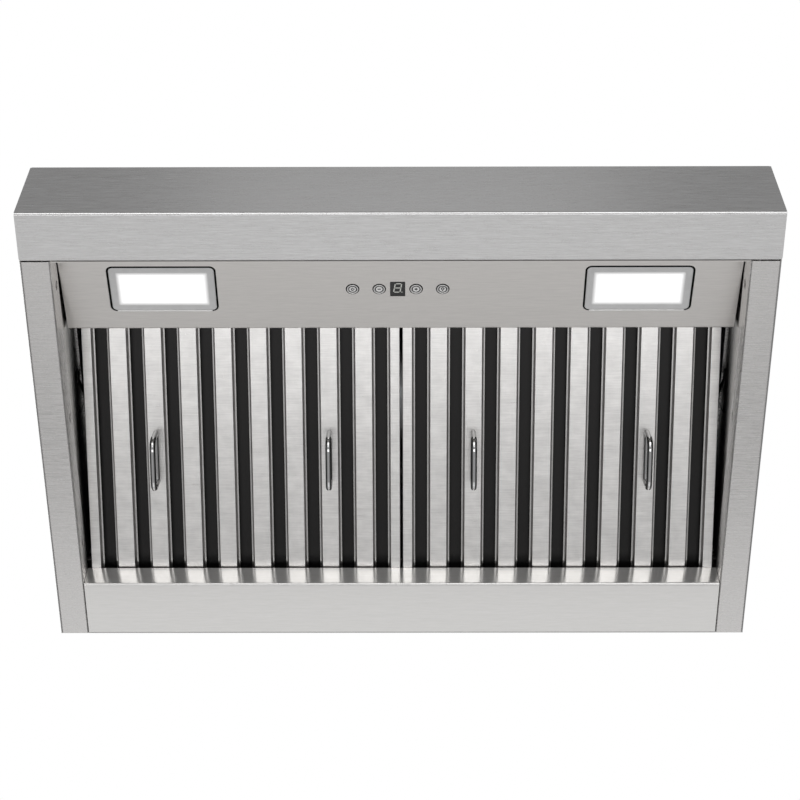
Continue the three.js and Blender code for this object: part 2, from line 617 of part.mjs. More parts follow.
// Circuit board with one switch behind each button and the digit's case behind the window.
function controlBoard() {
  const board = plate(BOARD_HALF, [BOARD_FRONT, BOARD_FRONT + BOARD_SHEET]);
  const switchHalf = [SWITCH_SIZE / 2, SWITCH_SIZE / 2];
  const switchHeights = [BOARD_FRONT - SWITCH_HEIGHT, BOARD_FRONT];
  const switches = BUTTON_OFFSETS.map((x) => plate(switchHalf, switchHeights, [x, 0]));
  const digitHalf = [DISPLAY_WIDTH / 2 - DISPLAY_BORDER, DISPLAY_LENGTH / 2];
  const digit = plate(digitHalf, [DISPLAY_BACK + GAP, BOARD_FRONT]);
  return joined([board, ...switches, digit]).translate([CONTROLS_OFFSET, CONTROL_Y, 0]);
}

// Tray that carries the board and is screwed to the panel's back.
function controlTray() {
  const back = SHEET + GAP;
  const board = BOARD_FRONT + BOARD_SHEET + GAP;
  const top = board + TRAY_HEIGHT;
  const inside = TRAY_HALF.map((half) => half - TRAY_WALL);
  const hollow = plate(inside, [0, top - TRAY_WALL]);
  const ears = plate([TRAY_HALF[0] + TRAY_EAR, EAR_WIDTH / 2], [back, back + TRAY_WALL]);
  const shell = plate(TRAY_HALF, [back, top]).add(ears).subtract(hollow);
  const posts = [-1, 1].map((side) => rod(
    'z', TRAY_WALL, board, top - TRAY_WALL / 2, 12, [side * (BOARD_HALF[0] - 4), 0]));
  return joined([shell, ...posts]).translate([CONTROLS_OFFSET, CONTROL_Y, 0]);
}

// ---------------------------------------------------------------- baffle filters

const BAFFLE_REACH = END_CHANNEL - 2 * THIN_SHEET; // the baffles run into the end channels

// Face, short cheeks and outturned brims of one bar, as an outline of [across, in].
function frontBaffle(centre) {
  const half = BAR_WIDTH / 2;
  const bends = [
    [half + BAR_BRIM, BAR_DEPTH + 1],
    [half - BAR_DRAFT, BAR_DEPTH + 1 - BRIM_RISE],
    [half, 0],
    [-half, 0],
    [-half + BAR_DRAFT, BAR_DEPTH + 1 - BRIM_RISE],
    [-half - BAR_BRIM, BAR_DEPTH + 1],
  ];
  return bentSheet(bends.map(([x, z]) => [centre + x, z]), THIN_SHEET, -1, 0.6, 1);
}

// The wider channel behind one gap, open towards the gap.
function rearBaffle(centre) {
  const half = BAR_GAP / 2 + CHANNEL_OVERLAP;
  const top = FILTER_THICKNESS - THIN_SHEET;
  const lipDepth = BAR_DEPTH + CHANNEL_CLEAR;
  const bends = [
    [half, lipDepth],
    [half - CHANNEL_DRAFT, top],
    [-half + CHANNEL_DRAFT, top],
    [-half, lipDepth],
  ];
  return bentSheet(bends.map(([x, z]) => [centre + x, z]), THIN_SHEET, 1, 0.6, 1);
}

// One channel of the frame: face, outer wall and inner flange, as an outline of [across, in].
function frameChannel(outer, inward, width) {
  const bends = [
    [outer + inward * width, 0],
    [outer, 0],
    [outer, FILTER_THICKNESS],
    [outer + inward * width, FILTER_THICKNESS],
  ];
  return bentSheet(bends, THIN_SHEET, -inward, 0.6, 1);
}

// Left filter: a frame of four channels, the bars of the face, and a channel behind every gap.
function filter() {
  const left = -FILTER_OUTER_EDGE;
  const right = -FILTER_INNER_EDGE;
  const runs = [FILTER_FRONT + BAFFLE_REACH, FILTER_TUCK - BAFFLE_REACH];
  const baffles = [];
  for (let bar = 1; bar <= FILTER_BARS; bar++) {
    baffles.push(extruded('y', frontBaffle(left + HALF_BAR + bar * BAR_PITCH - BAR_WIDTH / 2), ...runs));
  }
  for (let gap = 0; gap <= FILTER_BARS; gap++) {
    baffles.push(extruded('y', rearBaffle(left + HALF_BAR + gap * BAR_PITCH + BAR_GAP / 2), ...runs));
  }
  const channels = [
    extruded('y', frameChannel(left, 1, HALF_BAR), FILTER_FRONT, FILTER_TUCK),
    extruded('y', frameChannel(right, -1, HALF_BAR), FILTER_FRONT, FILTER_TUCK),
    extruded('x', frameChannel(FILTER_FRONT, 1, END_CHANNEL), left, right),
    extruded('x', frameChannel(FILTER_TUCK, -1, END_CHANNEL), left, right),
  ];
  return joined([...channels, ...baffles]);
}

// A wire bent square at both ends, standing on one bar of the filter, closed by a thinner rod.
function handle(centre) {
  const half = (HANDLE_LENGTH - HANDLE_ROD) / 2;
  const bend = HANDLE_CORNER;
  const route = new THREE.CurvePath();
  const foot = -GAP;
  const reach = -HANDLE_REACH + HANDLE_ROD / 2;
  const base = rod('y', HANDLE_BASE_ROD / 2, -half, half, 12, [0, foot - HANDLE_BASE_ROD / 2]);
  const corner = (y, z) => new THREE.Vector3(0, y, z);
  route.add(new THREE.LineCurve3(corner(-half, foot), corner(-half, reach + bend)));
  route.add(new THREE.QuadraticBezierCurve3(
    corner(-half, reach + bend), corner(-half, reach), corner(-half + bend, reach)));
  route.add(new THREE.LineCurve3(corner(-half + bend, reach), corner(half - bend, reach)));
  route.add(new THREE.QuadraticBezierCurve3(
    corner(half - bend, reach), corner(half, reach), corner(half, reach + bend)));
  route.add(new THREE.LineCurve3(corner(half, reach + bend), corner(half, foot)));
  const section = new THREE.Shape().absarc(0, 0, HANDLE_ROD / 2, 0, 2 * Math.PI);
  const geometry = new THREE.ExtrudeGeometry(
    section, { extrudePath: route, steps: 20, curveSegments: 4, bevelEnabled: false });
  return toSolid(geometry).add(base).translate([centre, -HANDLE_FROM_PIVOT, 0]);
}

// A bowed strip between the side return and the filter's outer wall, which holds the filter up.
function filterSpring() {
  const wall = -SIDE_INNER - SHEET - GAP;
  const leaf = THIN_SHEET / 2;
  const bow = -FILTER_OUTER_EDGE - GAP - leaf;
  const bowStart = SPRING_START + SPRING_FOOT + SPRING_RISE;
  const bends = [
    [wall + GAP, SPRING_START],
    [wall + GAP, SPRING_START + SPRING_FOOT],
    [bow, bowStart],
    [bow, bowStart + SPRING_CREST],
    [wall + GAP, bowStart + SPRING_CREST + SPRING_RISE],
  ];
  return extruded('z', bentSheet(bends, leaf, -1, 3, 3), SPRING_EDGE, SPRING_EDGE + SPRING_WIDTH);
}

// The strip that both filters come up against at the front, fixed to the panel's rear wall.
function filterStop() {
  const slope = radians(FILTER_SLOPE);
  const topEdge = [
    filterFrame.position.y + FILTER_FRONT * Math.cos(slope) + (FILTER_THICKNESS + GAP) * Math.sin(slope),
    filterFrame.position.z - FILTER_FRONT * Math.sin(slope) + (FILTER_THICKNESS + GAP) * Math.cos(slope),
  ];
  const wall = PANEL_REAR + SHEET + GAP;
  const bends = [
    [wall, RIM_HEIGHT - STOP_DROP],
    [wall, topEdge[1] + (topEdge[0] - wall) * Math.tan(slope)],
    [topEdge[0] + STOP_REACH * Math.cos(slope), topEdge[1] - STOP_REACH * Math.sin(slope)],
  ];
  const half = SIDE_INNER - SHEET - GAP;
  return extruded('x', bentSheet(bends, SHEET, 1), -half, half);
}

// ---------------------------------------------------------------- blower

const BLOWER_CENTRE = [WHEEL_FROM_FRONT, WHEEL_HEIGHT];
const HALF_SCROLL = SCROLL_WIDTH / 2;
const BLADE_SHEET = 0.9;
const BLADE_STEPS = 2;
const BLADE_INSIDE = WHEEL_RADIUS - BLADE_LENGTH;
const MOTOR_START = HALF_SCROLL + MOTOR_CLEAR; // from the wheel's middle plate
const MOTOR_END = MOTOR_START + MOTOR_LENGTH;
const SHAFT_IN_MOTOR = 18;
const SHAFT_HOLE = SHAFT_DIAMETER / 2 + GAP;
const CAPACITOR_PLACE = [
  HOUSING_HALF_WIDTH - CAPACITOR_FROM_SIDE,
  DUCT_FROM_FRONT - CAPACITOR_FORWARD,
  HOUSING_TOP - CAPACITOR_UNDER_TOP,
];

// Half the outline of the scroll, [y, z], from the outlet's rear corner round to the cut-off.
function scrollWall(offset) {
  const steps = 30;
  const wall = [[WHEEL_FROM_FRONT + SCROLL_END + offset, SCROLL_TOP]];
  for (let step = 0; step <= steps; step++) {
    const share = step / steps;
    const angle = radians(360 + share * (CUT_OFF_ANGLE - 360));
    const radius = SCROLL_END - share * SCROLL_GROWTH + offset;
    wall.push([WHEEL_FROM_FRONT + radius * Math.cos(angle), WHEEL_HEIGHT + radius * Math.sin(angle)]);
  }
  const last = wall[wall.length - 1];
  wall.push([last[0], SCROLL_TOP]);
  return wall;
}

// Spiral wall between two side plates, open at the top and at both inlets.
function blowerScroll() {
  const inner = scrollWall(0);
  const outer = scrollWall(THIN_SHEET);
  const cutOffFace = inner[inner.length - 1][0] - THIN_SHEET;
  for (const point of outer.slice(-2)) point[0] = cutOffFace;
  const body = extruded('x', outer, -HALF_SCROLL, HALF_SCROLL);
  const hollow = extruded('x', [
    [inner[0][0], SCROLL_TOP + PAST],
    ...inner.slice(1, -1),
    [inner[inner.length - 1][0], SCROLL_TOP + PAST],
  ], -HALF_SCROLL + THIN_SHEET, HALF_SCROLL - THIN_SHEET);
  const inlets = rod('x', INLET_DIAMETER / 2, -HALF_SCROLL - PAST, HALF_SCROLL + PAST, 24, BLOWER_CENTRE);
  return cut(body, [hollow, inlets]);
}

// Bell mouth rolled into the left inlet.
function inletRing() {
  const mouth = INLET_DIAMETER / 2 - GAP;
  const start = -HALF_SCROLL - RING_PROUD;
  const edge = start + RING_PROUD - GAP;
  const profile = [
    [mouth - THIN_SHEET, start + RING_PROUD + 1],
    [mouth + 0.6, start + 1.6],
    [mouth + RING_REACH - 3, start],
    [mouth + RING_REACH, start + 1.4],
    [mouth + RING_REACH, edge],
    [mouth + RING_REACH - 1, edge],
    [mouth + RING_REACH - 3, start + 1.2],
    [mouth, start + 3.4],
    [mouth, start + RING_PROUD + 1],
  ];
  return revolved('x', profile, 24, BLOWER_CENTRE);
}

// One face of a forward-curved blade, from its inner edge out; the face lies aside of the middle.
function bladeArc(aside) {
  const arc = [];
  for (let step = 0; step <= BLADE_STEPS; step++) {
    const share = step / BLADE_STEPS;
    const radius = BLADE_INSIDE + share * (BLADE_LENGTH - GAP);
    const angle = radians(BLADE_CURVE) * share * share + aside / radius;
    arc.push([radius * Math.cos(angle), radius * Math.sin(angle)]);
  }
  return arc;
}

// Forward-curved blades between two end rings, carried by a middle plate and its hub.
function fanWheel() {
  const half = WHEEL_WIDTH / 2;
  const ringInside = WHEEL_RADIUS - WHEEL_RING;
  const ring = (from, to) => revolved('x', [
    [ringInside, from], [WHEEL_RADIUS, from], [WHEEL_RADIUS, to], [ringInside, to],
  ], 32);
  const middle = rod('x', BLADE_INSIDE + SHEET, -SHEET / 2, SHEET / 2, 32);
  const hub = rod('x', HUB_DIAMETER / 2, -HUB_LENGTH / 2, HUB_LENGTH / 2, 20);
  const outline = [...bladeArc(-BLADE_SHEET / 2), ...bladeArc(BLADE_SHEET / 2).reverse()];
  const blades = [];
  for (let blade = 0; blade < WHEEL_BLADES; blade++) {
    const turn = 2 * Math.PI * blade / WHEEL_BLADES;
    const turned = outline.map(([y, z]) => [
      y * Math.cos(turn) - z * Math.sin(turn), y * Math.sin(turn) + z * Math.cos(turn)]);
    blades.push(extruded('x', turned, -half, half));
  }
  const bore = rod('x', SHAFT_HOLE, -HUB_LENGTH, HUB_LENGTH, 16);
  const rings = [ring(-half, WHEEL_RING_LENGTH - half), ring(half - WHEEL_RING_LENGTH, half)];
  const wheel = joined([...rings, middle, hub, ...blades]);
  return wheel.subtract(bore).translate([0, ...BLOWER_CENTRE]);
}

// Runs from the motor through the wheel's hub.
function motorShaft() {
  return rod('x', SHAFT_DIAMETER / 2, -SHAFT_IN_MOTOR, MOTOR_START + SHAFT_IN_MOTOR, 16, BLOWER_CENTRE);
}

// Stator case with end bells, a bearing boss, and the clearance hole of its shaft.
function motor() {
  const radius = MOTOR_DIAMETER / 2;
  const boss = MOTOR_BOSS / 2;
  const shaftEnd = MOTOR_START + SHAFT_IN_MOTOR + SHEET;
  const profile = [
    [SHAFT_HOLE, MOTOR_START - BOSS_LENGTH],
    [boss, MOTOR_START - BOSS_LENGTH],
    [boss, MOTOR_START],
    [radius - 10, MOTOR_START],
    [radius - 2, MOTOR_START + 8],
    [radius, MOTOR_START + 14],
    [radius, MOTOR_END - 14],
    [radius - 2, MOTOR_END - 8],
    [radius - 10, MOTOR_END],
    [0, MOTOR_END],
    [0, shaftEnd],
    [SHAFT_HOLE, shaftEnd],
  ];
  return revolved('x', profile, 24, BLOWER_CENTRE);
}

// A strap round the motor with three legs that reach back to the scroll's side plate.
function motorBracket() {
  const inner = MOTOR_DIAMETER / 2 + GAP;
  const outer = inner + STRAP_SHEET;
  const middle = (MOTOR_START + MOTOR_END) / 2;
  const strapEnds = [middle - STRAP_WIDTH / 2, middle + STRAP_WIDTH / 2];
  const strap = revolved('x', [
    [inner, strapEnds[0]], [outer, strapEnds[0]], [outer, strapEnds[1]], [inner, strapEnds[1]],
  ], 24);
  const legStart = HALF_SCROLL + GAP;
  const legRadius = INLET_DIAMETER / 2 + RING_REACH + 2 * SHEET;
  const width = [-BRACKET_WIDTH / 2, BRACKET_WIDTH / 2];
  const legEnd = middle + BRACKET_SHEET / 2;
  const legs = [90, 210, 330].map((angle) => {
    const spoke = block([legEnd - BRACKET_SHEET, legEnd], width, [outer - GAP, legRadius + BRACKET_SHEET]);
    const leg = block([legStart, legEnd], width, [legRadius, legRadius + BRACKET_SHEET]);
    const pad = block([legStart, legStart + BRACKET_SHEET], width, [legRadius, legRadius + BRACKET_PAD]);
    return joined([spoke, leg, pad]).rotate([angle, 0, 0]);
  });
  return joined([strap, ...legs]).translate([0, ...BLOWER_CENTRE]);
}

// Start capacitor in a clip under the housing's top, between the motor and the side wall.
function capacitor() {
  const half = CAPACITOR_LENGTH / 2;
  return rod('y', CAPACITOR_DIAMETER / 2, -half, half, 24).translate(CAPACITOR_PLACE);
}

function capacitorClip() {
  const inner = CAPACITOR_DIAMETER / 2 + GAP;
  const outer = inner + STRAP_SHEET;
  const width = [-CLIP_WIDTH / 2, CLIP_WIDTH / 2];
  const band = revolved('y', [
    [inner, width[0]], [outer, width[0]], [outer, width[1]], [inner, width[1]],
  ], 24);
  const tab = block([-CLIP_TAB / 2, CLIP_TAB / 2], width, [outer - GAP, CEILING - CAPACITOR_PLACE[2]]);
  return band.add(tab).translate(CAPACITOR_PLACE);
}

// ---------------------------------------------------------------- duct collar and damper

const ROD_HEIGHT = HOUSING_TOP + DAMPER_LIFT;
const KNUCKLE_RADIUS = DAMPER_ROD / 2 + GAP + 1;

// Round collar with a flange on the housing's top and a bead on which the flaps rest.
function ductCollar() {
  const outer = DUCT_DIAMETER / 2;
  const base = HOUSING_TOP + GAP;
  const bead = ROD_HEIGHT - FLAP_SHEET / 2 - GAP;
  const profile = [
    [outer + DUCT_FLANGE, base],
    [outer + DUCT_FLANGE, base + SHEET],
    [outer, base + SHEET],
    [outer, base + DUCT_HEIGHT],
    [outer - SHEET, base + DUCT_HEIGHT],
    [outer - SHEET, bead],
    [outer - SHEET - COLLAR_BEAD, bead],
    [outer - SHEET, bead - COLLAR_BEAD],
    [outer - SHEET, base],
  ];
  const collar = revolved('z', profile, 32, [0, DUCT_FROM_FRONT]);
  const rodHole = rod(
    'x', DAMPER_ROD / 2 + GAP, -outer - PAST, outer + PAST, 12, [DUCT_FROM_FRONT, ROD_HEIGHT]);
  return collar.subtract(rodHole);
}

function damperRod() {
  return rod('x', DAMPER_ROD / 2, -DUCT_DIAMETER / 2, DUCT_DIAMETER / 2, 12, [DUCT_FROM_FRONT, ROD_HEIGHT]);
}

// Half disc on one side of the rod with two knuckles round it; side is 1 for the rear flap.
function damperFlap(side) {
  const radius = DUCT_DIAMETER / 2 - SHEET - FLAP_GAP;
  const start = KNUCKLE_RADIUS + FLAP_GAP;
  const toSide = (from, to) => (side > 0 ? [from, to] : [-to, -from]);
  const heights = [-FLAP_SHEET / 2, FLAP_SHEET / 2];
  const disc = rod('z', radius, ...heights, 32);
  const keep = block([-radius, radius], toSide(start, radius), [-FLAP_SHEET, FLAP_SHEET]);
  const from = side > 0 ? KNUCKLE_START : KNUCKLE_START + KNUCKLE_LENGTH + FLAP_GAP;
  const knuckles = [from, -from - KNUCKLE_LENGTH].map((x) => {
    const span = [x, x + KNUCKLE_LENGTH];
    const barrel = rod('x', KNUCKLE_RADIUS, ...span, 12);
    return barrel.add(block(span, toSide(DAMPER_ROD / 4, start + DAMPER_ROD / 2), heights));
  });
  const bore = rod('x', DAMPER_ROD / 2 + GAP, -radius, radius, 12);
  const flap = joined([disc.intersect(keep), ...knuckles]).subtract(bore);
  return flap.translate([0, DUCT_FROM_FRONT, ROD_HEIGHT]);
}

// ---------------------------------------------------------------- electrics

const BOX_X = [GLAND_PLACE[0] - BOX_MARGIN, GLAND_PLACE[0] - BOX_MARGIN + BOX_WIDTH];
const BOX_Y = [GLAND_PLACE[1] - BOX_MARGIN, GLAND_PLACE[1] - BOX_MARGIN + BOX_LENGTH];
const BOX_Z = [CEILING - BOX_HEIGHT, CEILING];
const DRIVER_PLACE = [GLAND_PLACE[0] + DRIVER_FROM_GLAND, GLAND_PLACE[1] - DRIVER_FORWARD];

// A block that stands inside the box's four walls by an inset.
function inBox(inset, bottom, top) {
  const [across, along] = [BOX_X, BOX_Y].map(([from, to]) => [from + inset, to - inset]);
  return block(across, along, [bottom, top]);
}

// Steel box for the mains connection, open below.
function junctionBox() {
  const inside = inBox(SHEET, BOX_Z[0] - PAST, BOX_Z[1] - SHEET);
  const inlet = rod('z', GLAND_RADIUS, BOX_Z[1] - SHEET - PAST, BOX_Z[1] + PAST, 16, GLAND_PLACE);
  return cut(inBox(0, ...BOX_Z), [inside, inlet]);
}

function junctionCover() {
  const top = BOX_Z[0] - GAP;
  const lid = inBox(0, top - SHEET, top);
  const skirt = inBox(SHEET + GAP, top - SHEET, top + COVER_SKIRT);
  const hollow = inBox(3 * SHEET, top, top + COVER_SKIRT + PAST);
  return lid.add(skirt).subtract(hollow);
}

// Bushing in the inlet hole through the housing's top and the box's.
function cableGland() {
  const bore = GLAND_RADIUS - GLAND_WALL;
  const neck = GLAND_RADIUS - GAP;
  const rim = GLAND_RADIUS + GLAND_RIM;
  const bottom = BOX_Z[1] - GLAND_HEIGHT;
  const top = HOUSING_TOP + GAP;
  const profile = [
    [bore, bottom],
    [neck, bottom],
    [neck, top],
    [rim, top],
    [rim, top + GLAND_HEIGHT / 2],
    [rim - 2, top + GLAND_HEIGHT],
    [bore, top + GLAND_HEIGHT],
  ];
  return revolved('z', profile, 20, GLAND_PLACE);
}

// Supply for the lamps, under the housing's top.
function lampDriver() {
  const half = [DRIVER_WIDTH / 2, DRIVER_LENGTH / 2];
  const body = plate(half, [CEILING - DRIVER_HEIGHT, CEILING], DRIVER_PLACE);
  const ears = plate([half[0] + EAR_LENGTH, EAR_WIDTH / 2], [CEILING - 2, CEILING], DRIVER_PLACE);
  return body.add(ears);
}

// ---------------------------------------------------------------- assembly

addPiece(hood, 'front_panel', frontPanel(), BRUSHED_STEEL);
addPair(hood, 'side_panel', sidePanel(), BRUSHED_STEEL);
addPiece(hood, 'rear_panel', rearPanel(), BRUSHED_STEEL);
addPair(hood, 'side_liner', sideLiner(), BRUSHED_STEEL);
addPiece(hood, 'upper_housing', upperHousing(), ZINC_STEEL);

addPiece(hood, 'control_panel', controlPanel(), BRUSHED_STEEL);
addPair(panelFrame, 'lamp_lens', lampLens(), FROSTED_LENS);
addPair(panelFrame, 'lamp_can', lampCan(), ALUMINIUM);
addPair(panelFrame, 'lamp_board', lampBoard(), CIRCUIT_BOARD);
BUTTON_NAMES.forEach((name, i) => addPiece(panelFrame, name, button(BUTTON_OFFSETS[i]), CHROME));
addPiece(panelFrame, 'display_window', displayWindow(), DARK_GLASS);
addPiece(panelFrame, 'control_board', controlBoard(), CIRCUIT_BOARD);
addPiece(panelFrame, 'control_tray', controlTray(), BLACK_PLASTIC);

addPiece(hood, 'filter_stop', filterStop(), ZINC_STEEL);
addPair(filterFrame, 'filter', filter(), FILTER_STEEL);
addPair(filterFrame, 'filter_spring', filterSpring(), ZINC_STEEL);
addPair(filterFrame, 'handle_outer', handle(-FILTER_OUTER_EDGE + HANDLE_OFFSET), CHROME);
addPair(filterFrame, 'handle_inner', handle(-FILTER_INNER_EDGE - HANDLE_OFFSET), CHROME);

addPiece(hood, 'blower_scroll', blowerScroll(), ZINC_STEEL);
addPair(hood, 'inlet_ring', inletRing(), ZINC_STEEL);
addPiece(hood, 'fan_wheel', fanWheel(), ALUMINIUM);
addPiece(hood, 'motor_shaft', motorShaft(), CHROME);
addPiece(hood, 'motor', motor(), MOTOR_PAINT);
addPiece(hood, 'motor_bracket', motorBracket(), ZINC_STEEL);
addPiece(hood, 'capacitor', capacitor(), WHITE_PLASTIC);
addPiece(hood, 'capacitor_clip', capacitorClip(), ZINC_STEEL);

addPiece(hood, 'duct_collar', ductCollar(), ZINC_STEEL);
addPiece(hood, 'damper_rod', damperRod(), CHROME);
addPiece(hood, 'damper_flap_front', damperFlap(-1), ALUMINIUM);
addPiece(hood, 'damper_flap_rear', damperFlap(1), ALUMINIUM);

addPiece(hood, 'junction_box', junctionBox(), ZINC_STEEL);
addPiece(hood, 'junction_cover', junctionCover(), ZINC_STEEL);
addPiece(hood, 'cable_gland', cableGland(), BLACK_PLASTIC);
addPiece(hood, 'lamp_driver', lampDriver(), WHITE_PLASTIC);

export default hood;
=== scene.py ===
# The finished look of the range hood insert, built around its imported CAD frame.
# Metres, in the frame's own axes: +X right, +Y to the wall, +Z up, origin at the middle of the base.

import math

import bmesh
import bpy
from mathutils import Matrix, Vector


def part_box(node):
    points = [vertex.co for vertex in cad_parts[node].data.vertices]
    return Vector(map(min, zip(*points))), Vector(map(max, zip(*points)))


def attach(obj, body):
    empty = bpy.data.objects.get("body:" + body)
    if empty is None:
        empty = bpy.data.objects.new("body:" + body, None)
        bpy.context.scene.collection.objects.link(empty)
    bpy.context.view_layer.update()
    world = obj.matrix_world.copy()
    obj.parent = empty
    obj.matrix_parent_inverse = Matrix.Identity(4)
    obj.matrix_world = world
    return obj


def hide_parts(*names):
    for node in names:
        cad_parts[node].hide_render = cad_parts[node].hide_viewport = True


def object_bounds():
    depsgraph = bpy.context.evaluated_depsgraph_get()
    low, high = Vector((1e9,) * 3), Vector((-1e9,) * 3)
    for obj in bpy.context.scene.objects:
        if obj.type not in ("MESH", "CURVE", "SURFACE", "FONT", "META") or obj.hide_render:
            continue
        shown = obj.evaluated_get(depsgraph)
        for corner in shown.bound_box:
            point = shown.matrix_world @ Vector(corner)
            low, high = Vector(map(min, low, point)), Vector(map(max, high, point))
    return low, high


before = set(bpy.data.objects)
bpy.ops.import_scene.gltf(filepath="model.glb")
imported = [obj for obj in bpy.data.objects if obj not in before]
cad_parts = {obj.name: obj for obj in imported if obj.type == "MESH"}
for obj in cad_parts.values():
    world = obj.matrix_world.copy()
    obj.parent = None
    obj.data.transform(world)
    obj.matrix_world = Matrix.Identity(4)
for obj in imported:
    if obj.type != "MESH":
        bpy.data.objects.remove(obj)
cad_low, cad_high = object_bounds()

MM = 0.001


# ---------------------------------------------------------------- the panel's and the filters' slopes
# Distances called from_front are level ones, measured back from the hood's front face.

FRONT = cad_low.y

PANEL_SLOPE = math.radians(13.6)
PANEL_REAR_FROM_FRONT = 162 * MM
PANEL_REAR_HEIGHT = 55.5 * MM
LAMPS_FROM_FRONT = 107.4 * MM
CONTROLS_FROM_FRONT = 108 * MM

FILTER_SLOPE = math.radians(15.5)
FILTER_PIVOT_FROM_FRONT = 453.6 * MM
FILTER_PIVOT_HEIGHT = 30.466 * MM


def sloped(from_front, height, slope):
    """The place of a piece that slopes down or up to the rear."""
    return Matrix.Translation((0, FRONT + from_front, height)) @ Matrix.Rotation(slope, 4, "X")


ON_PANEL = sloped(PANEL_REAR_FROM_FRONT, PANEL_REAR_HEIGHT, PANEL_SLOPE)
ON_FILTER = sloped(FILTER_PIVOT_FROM_FRONT, FILTER_PIVOT_HEIGHT, -FILTER_SLOPE)


def along_panel(from_front):
    """Where something at a level distance from the front lies on the panel's slope."""
    return (from_front - PANEL_REAR_FROM_FRONT) / math.cos(PANEL_SLOPE)


LAMP_Y = along_panel(LAMPS_FROM_FRONT)
CONTROL_Y = along_panel(CONTROLS_FROM_FRONT)


# ---------------------------------------------------------------- materials

class Nodes:
    """A material's nodes: its shader, the piece's own coordinates, and patterns laid out on them."""

    def __init__(self, name):
        self.material = bpy.data.materials.new(name)
        self.material.use_nodes = True
        self.tree = self.material.node_tree
        self.shader = self.tree.nodes["Principled BSDF"]

    def add(self, kind, **settings):
        made = self.tree.nodes.new(kind)
        for key, value in settings.items():
            setattr(made, key, value)
        return made

    def link(self, source, target):
        self.tree.links.new(source, target)

    def set(self, **values):
        for key, value in values.items():
            self.shader.inputs[key.replace("_", " ")].default_value = value

    def place(self, scale=(1, 1, 1), location=(0, 0, 0), rotation=(0, 0, 0)):
        """The piece's own coordinates, stretched, turned and moved."""
        coordinates = self.add("ShaderNodeTexCoord")
        mapping = self.add("ShaderNodeMapping")
        self.link(coordinates.outputs["Object"], mapping.inputs["Vector"])
        for key, value in (("Scale", scale), ("Location", location), ("Rotation", rotation)):
            mapping.inputs[key].default_value = value
        return mapping.outputs["Vector"]

    def noise(self, scale, detail=3.0, roughness=0.5):
        made = self.add("ShaderNodeTexNoise")
        self.link(self.place(scale), made.inputs["Vector"])
        made.inputs["Scale"].default_value = 1.0
        made.inputs["Detail"].default_value = detail
        made.inputs["Roughness"].default_value = roughness
        return made.outputs["Fac"]

    def ramp(self, value, stops):
        """Colours against a value; stops are (position, grey or colour)."""
        made = self.add("ShaderNodeValToRGB")
        elements = made.color_ramp.elements
        while len(elements) < len(stops):
            elements.new(0.5)
        for element, (position, colour) in zip(elements, stops):
            element.position = position
            rgb = colour if hasattr(colour, "__len__") else (colour,) * 3
            element.color = (*rgb, 1)
        self.link(value, made.inputs["Fac"])
        return made.outputs["Color"]

    def spread(self, value, low, high, start=0.0, end=1.0):
        """A number from low to high as the value runs from start to end."""
        made = self.add("ShaderNodeMapRange")
        for key, number in (("From Min", start), ("From Max", end), ("To Min", low), ("To Max", high)):
            made.inputs[key].default_value = number
        self.link(value, made.inputs["Value"])
        return made.outputs["Result"]

    def mixed(self, first, second, share):
        made = self.add("ShaderNodeMix", data_type="FLOAT")
        made.inputs["Factor"].default_value = share
        self.link(first, made.inputs["A"])
        self.link(second, made.inputs["B"])
        return made.outputs["Result"]

    def bump(self, height, strength, distance):
        made = self.add("ShaderNodeBump")
        made.inputs["Strength"].default_value = strength
        made.inputs["Distance"].default_value = distance
        self.link(height, made.inputs["Height"])
        self.link(made.outputs["Normal"], self.shader.inputs["Normal"])

    def scaled(self, colour, share):
        made = self.add("ShaderNodeVectorMath", operation="SCALE")
        self.link(colour, made.inputs[0])
        self.link(share, made.inputs["Scale"])
        return made.outputs[0]

    def math(self, operation, *values):
        """One sum on linked values; a plain number in the list is set instead."""
        made = self.add("ShaderNodeMath", operation=operation)
        for socket, value in zip(made.inputs, values):
            if isinstance(value, float):
                socket.default_value = value
            else:
                self.link(value, socket)
        return made.outputs[0]

    def parts(self, spot):
        """The X, Y and Z of a place."""
        split = self.add("ShaderNodeSeparateXYZ")
        self.link(spot, split.inputs["Vector"])
        return split.outputs

    def local(self, place, slope):
        """Coordinates laid out on a sloped piece, as across, along and in."""
        origin = Matrix.Rotation(-slope, 3, "X") @ place.to_translation()
        return self.parts(self.place(rotation=(-slope, 0, 0), location=-origin))


LINER_LIT_TO = 42 * MM
LINER_BLACK_FROM = 66 * MM
FOLD_LIT_TO = 1.5 * MM
FOLD_DARK_FROM = 5 * MM


def shade_of_depth(nodes):
    """Full by the side returns, and black up inside the hood."""
    return nodes.spread(nodes.parts(nodes.place())["Z"], 1.0, 0.02, LINER_LIT_TO, LINER_BLACK_FROM)


def shade_of_folds(nodes):
    """Full on the bars' faces and blotched a little; darker in the cheeks and brims."""
    depth = nodes.local(ON_FILTER, -FILTER_SLOPE)["Z"]
    shade = nodes.spread(depth, 1.0, 0.62, FOLD_LIT_TO, FOLD_DARK_FROM)
    blotch = nodes.spread(nodes.noise((60, 60, 60), detail=4), 0.93, 1.05, 0.3, 0.7)
    return nodes.math("MULTIPLY", shade, blotch)


# How fine the fine lines and the broad streaks of a brushed sheet are, by the axis of its grain.
GRAIN = {"x": (50, 850, 850), "y": (850, 50, 850)}
STREAK = {"x": (16, 330, 330), "y": (330, 16, 330)}
GRAIN_HEIGHT = 0.2 * MM


def lighter(tint, share):
    """The tint made lighter by a share of itself, or darker by a share below zero."""
    return tuple(min(1, c * (1 + share)) for c in tint)


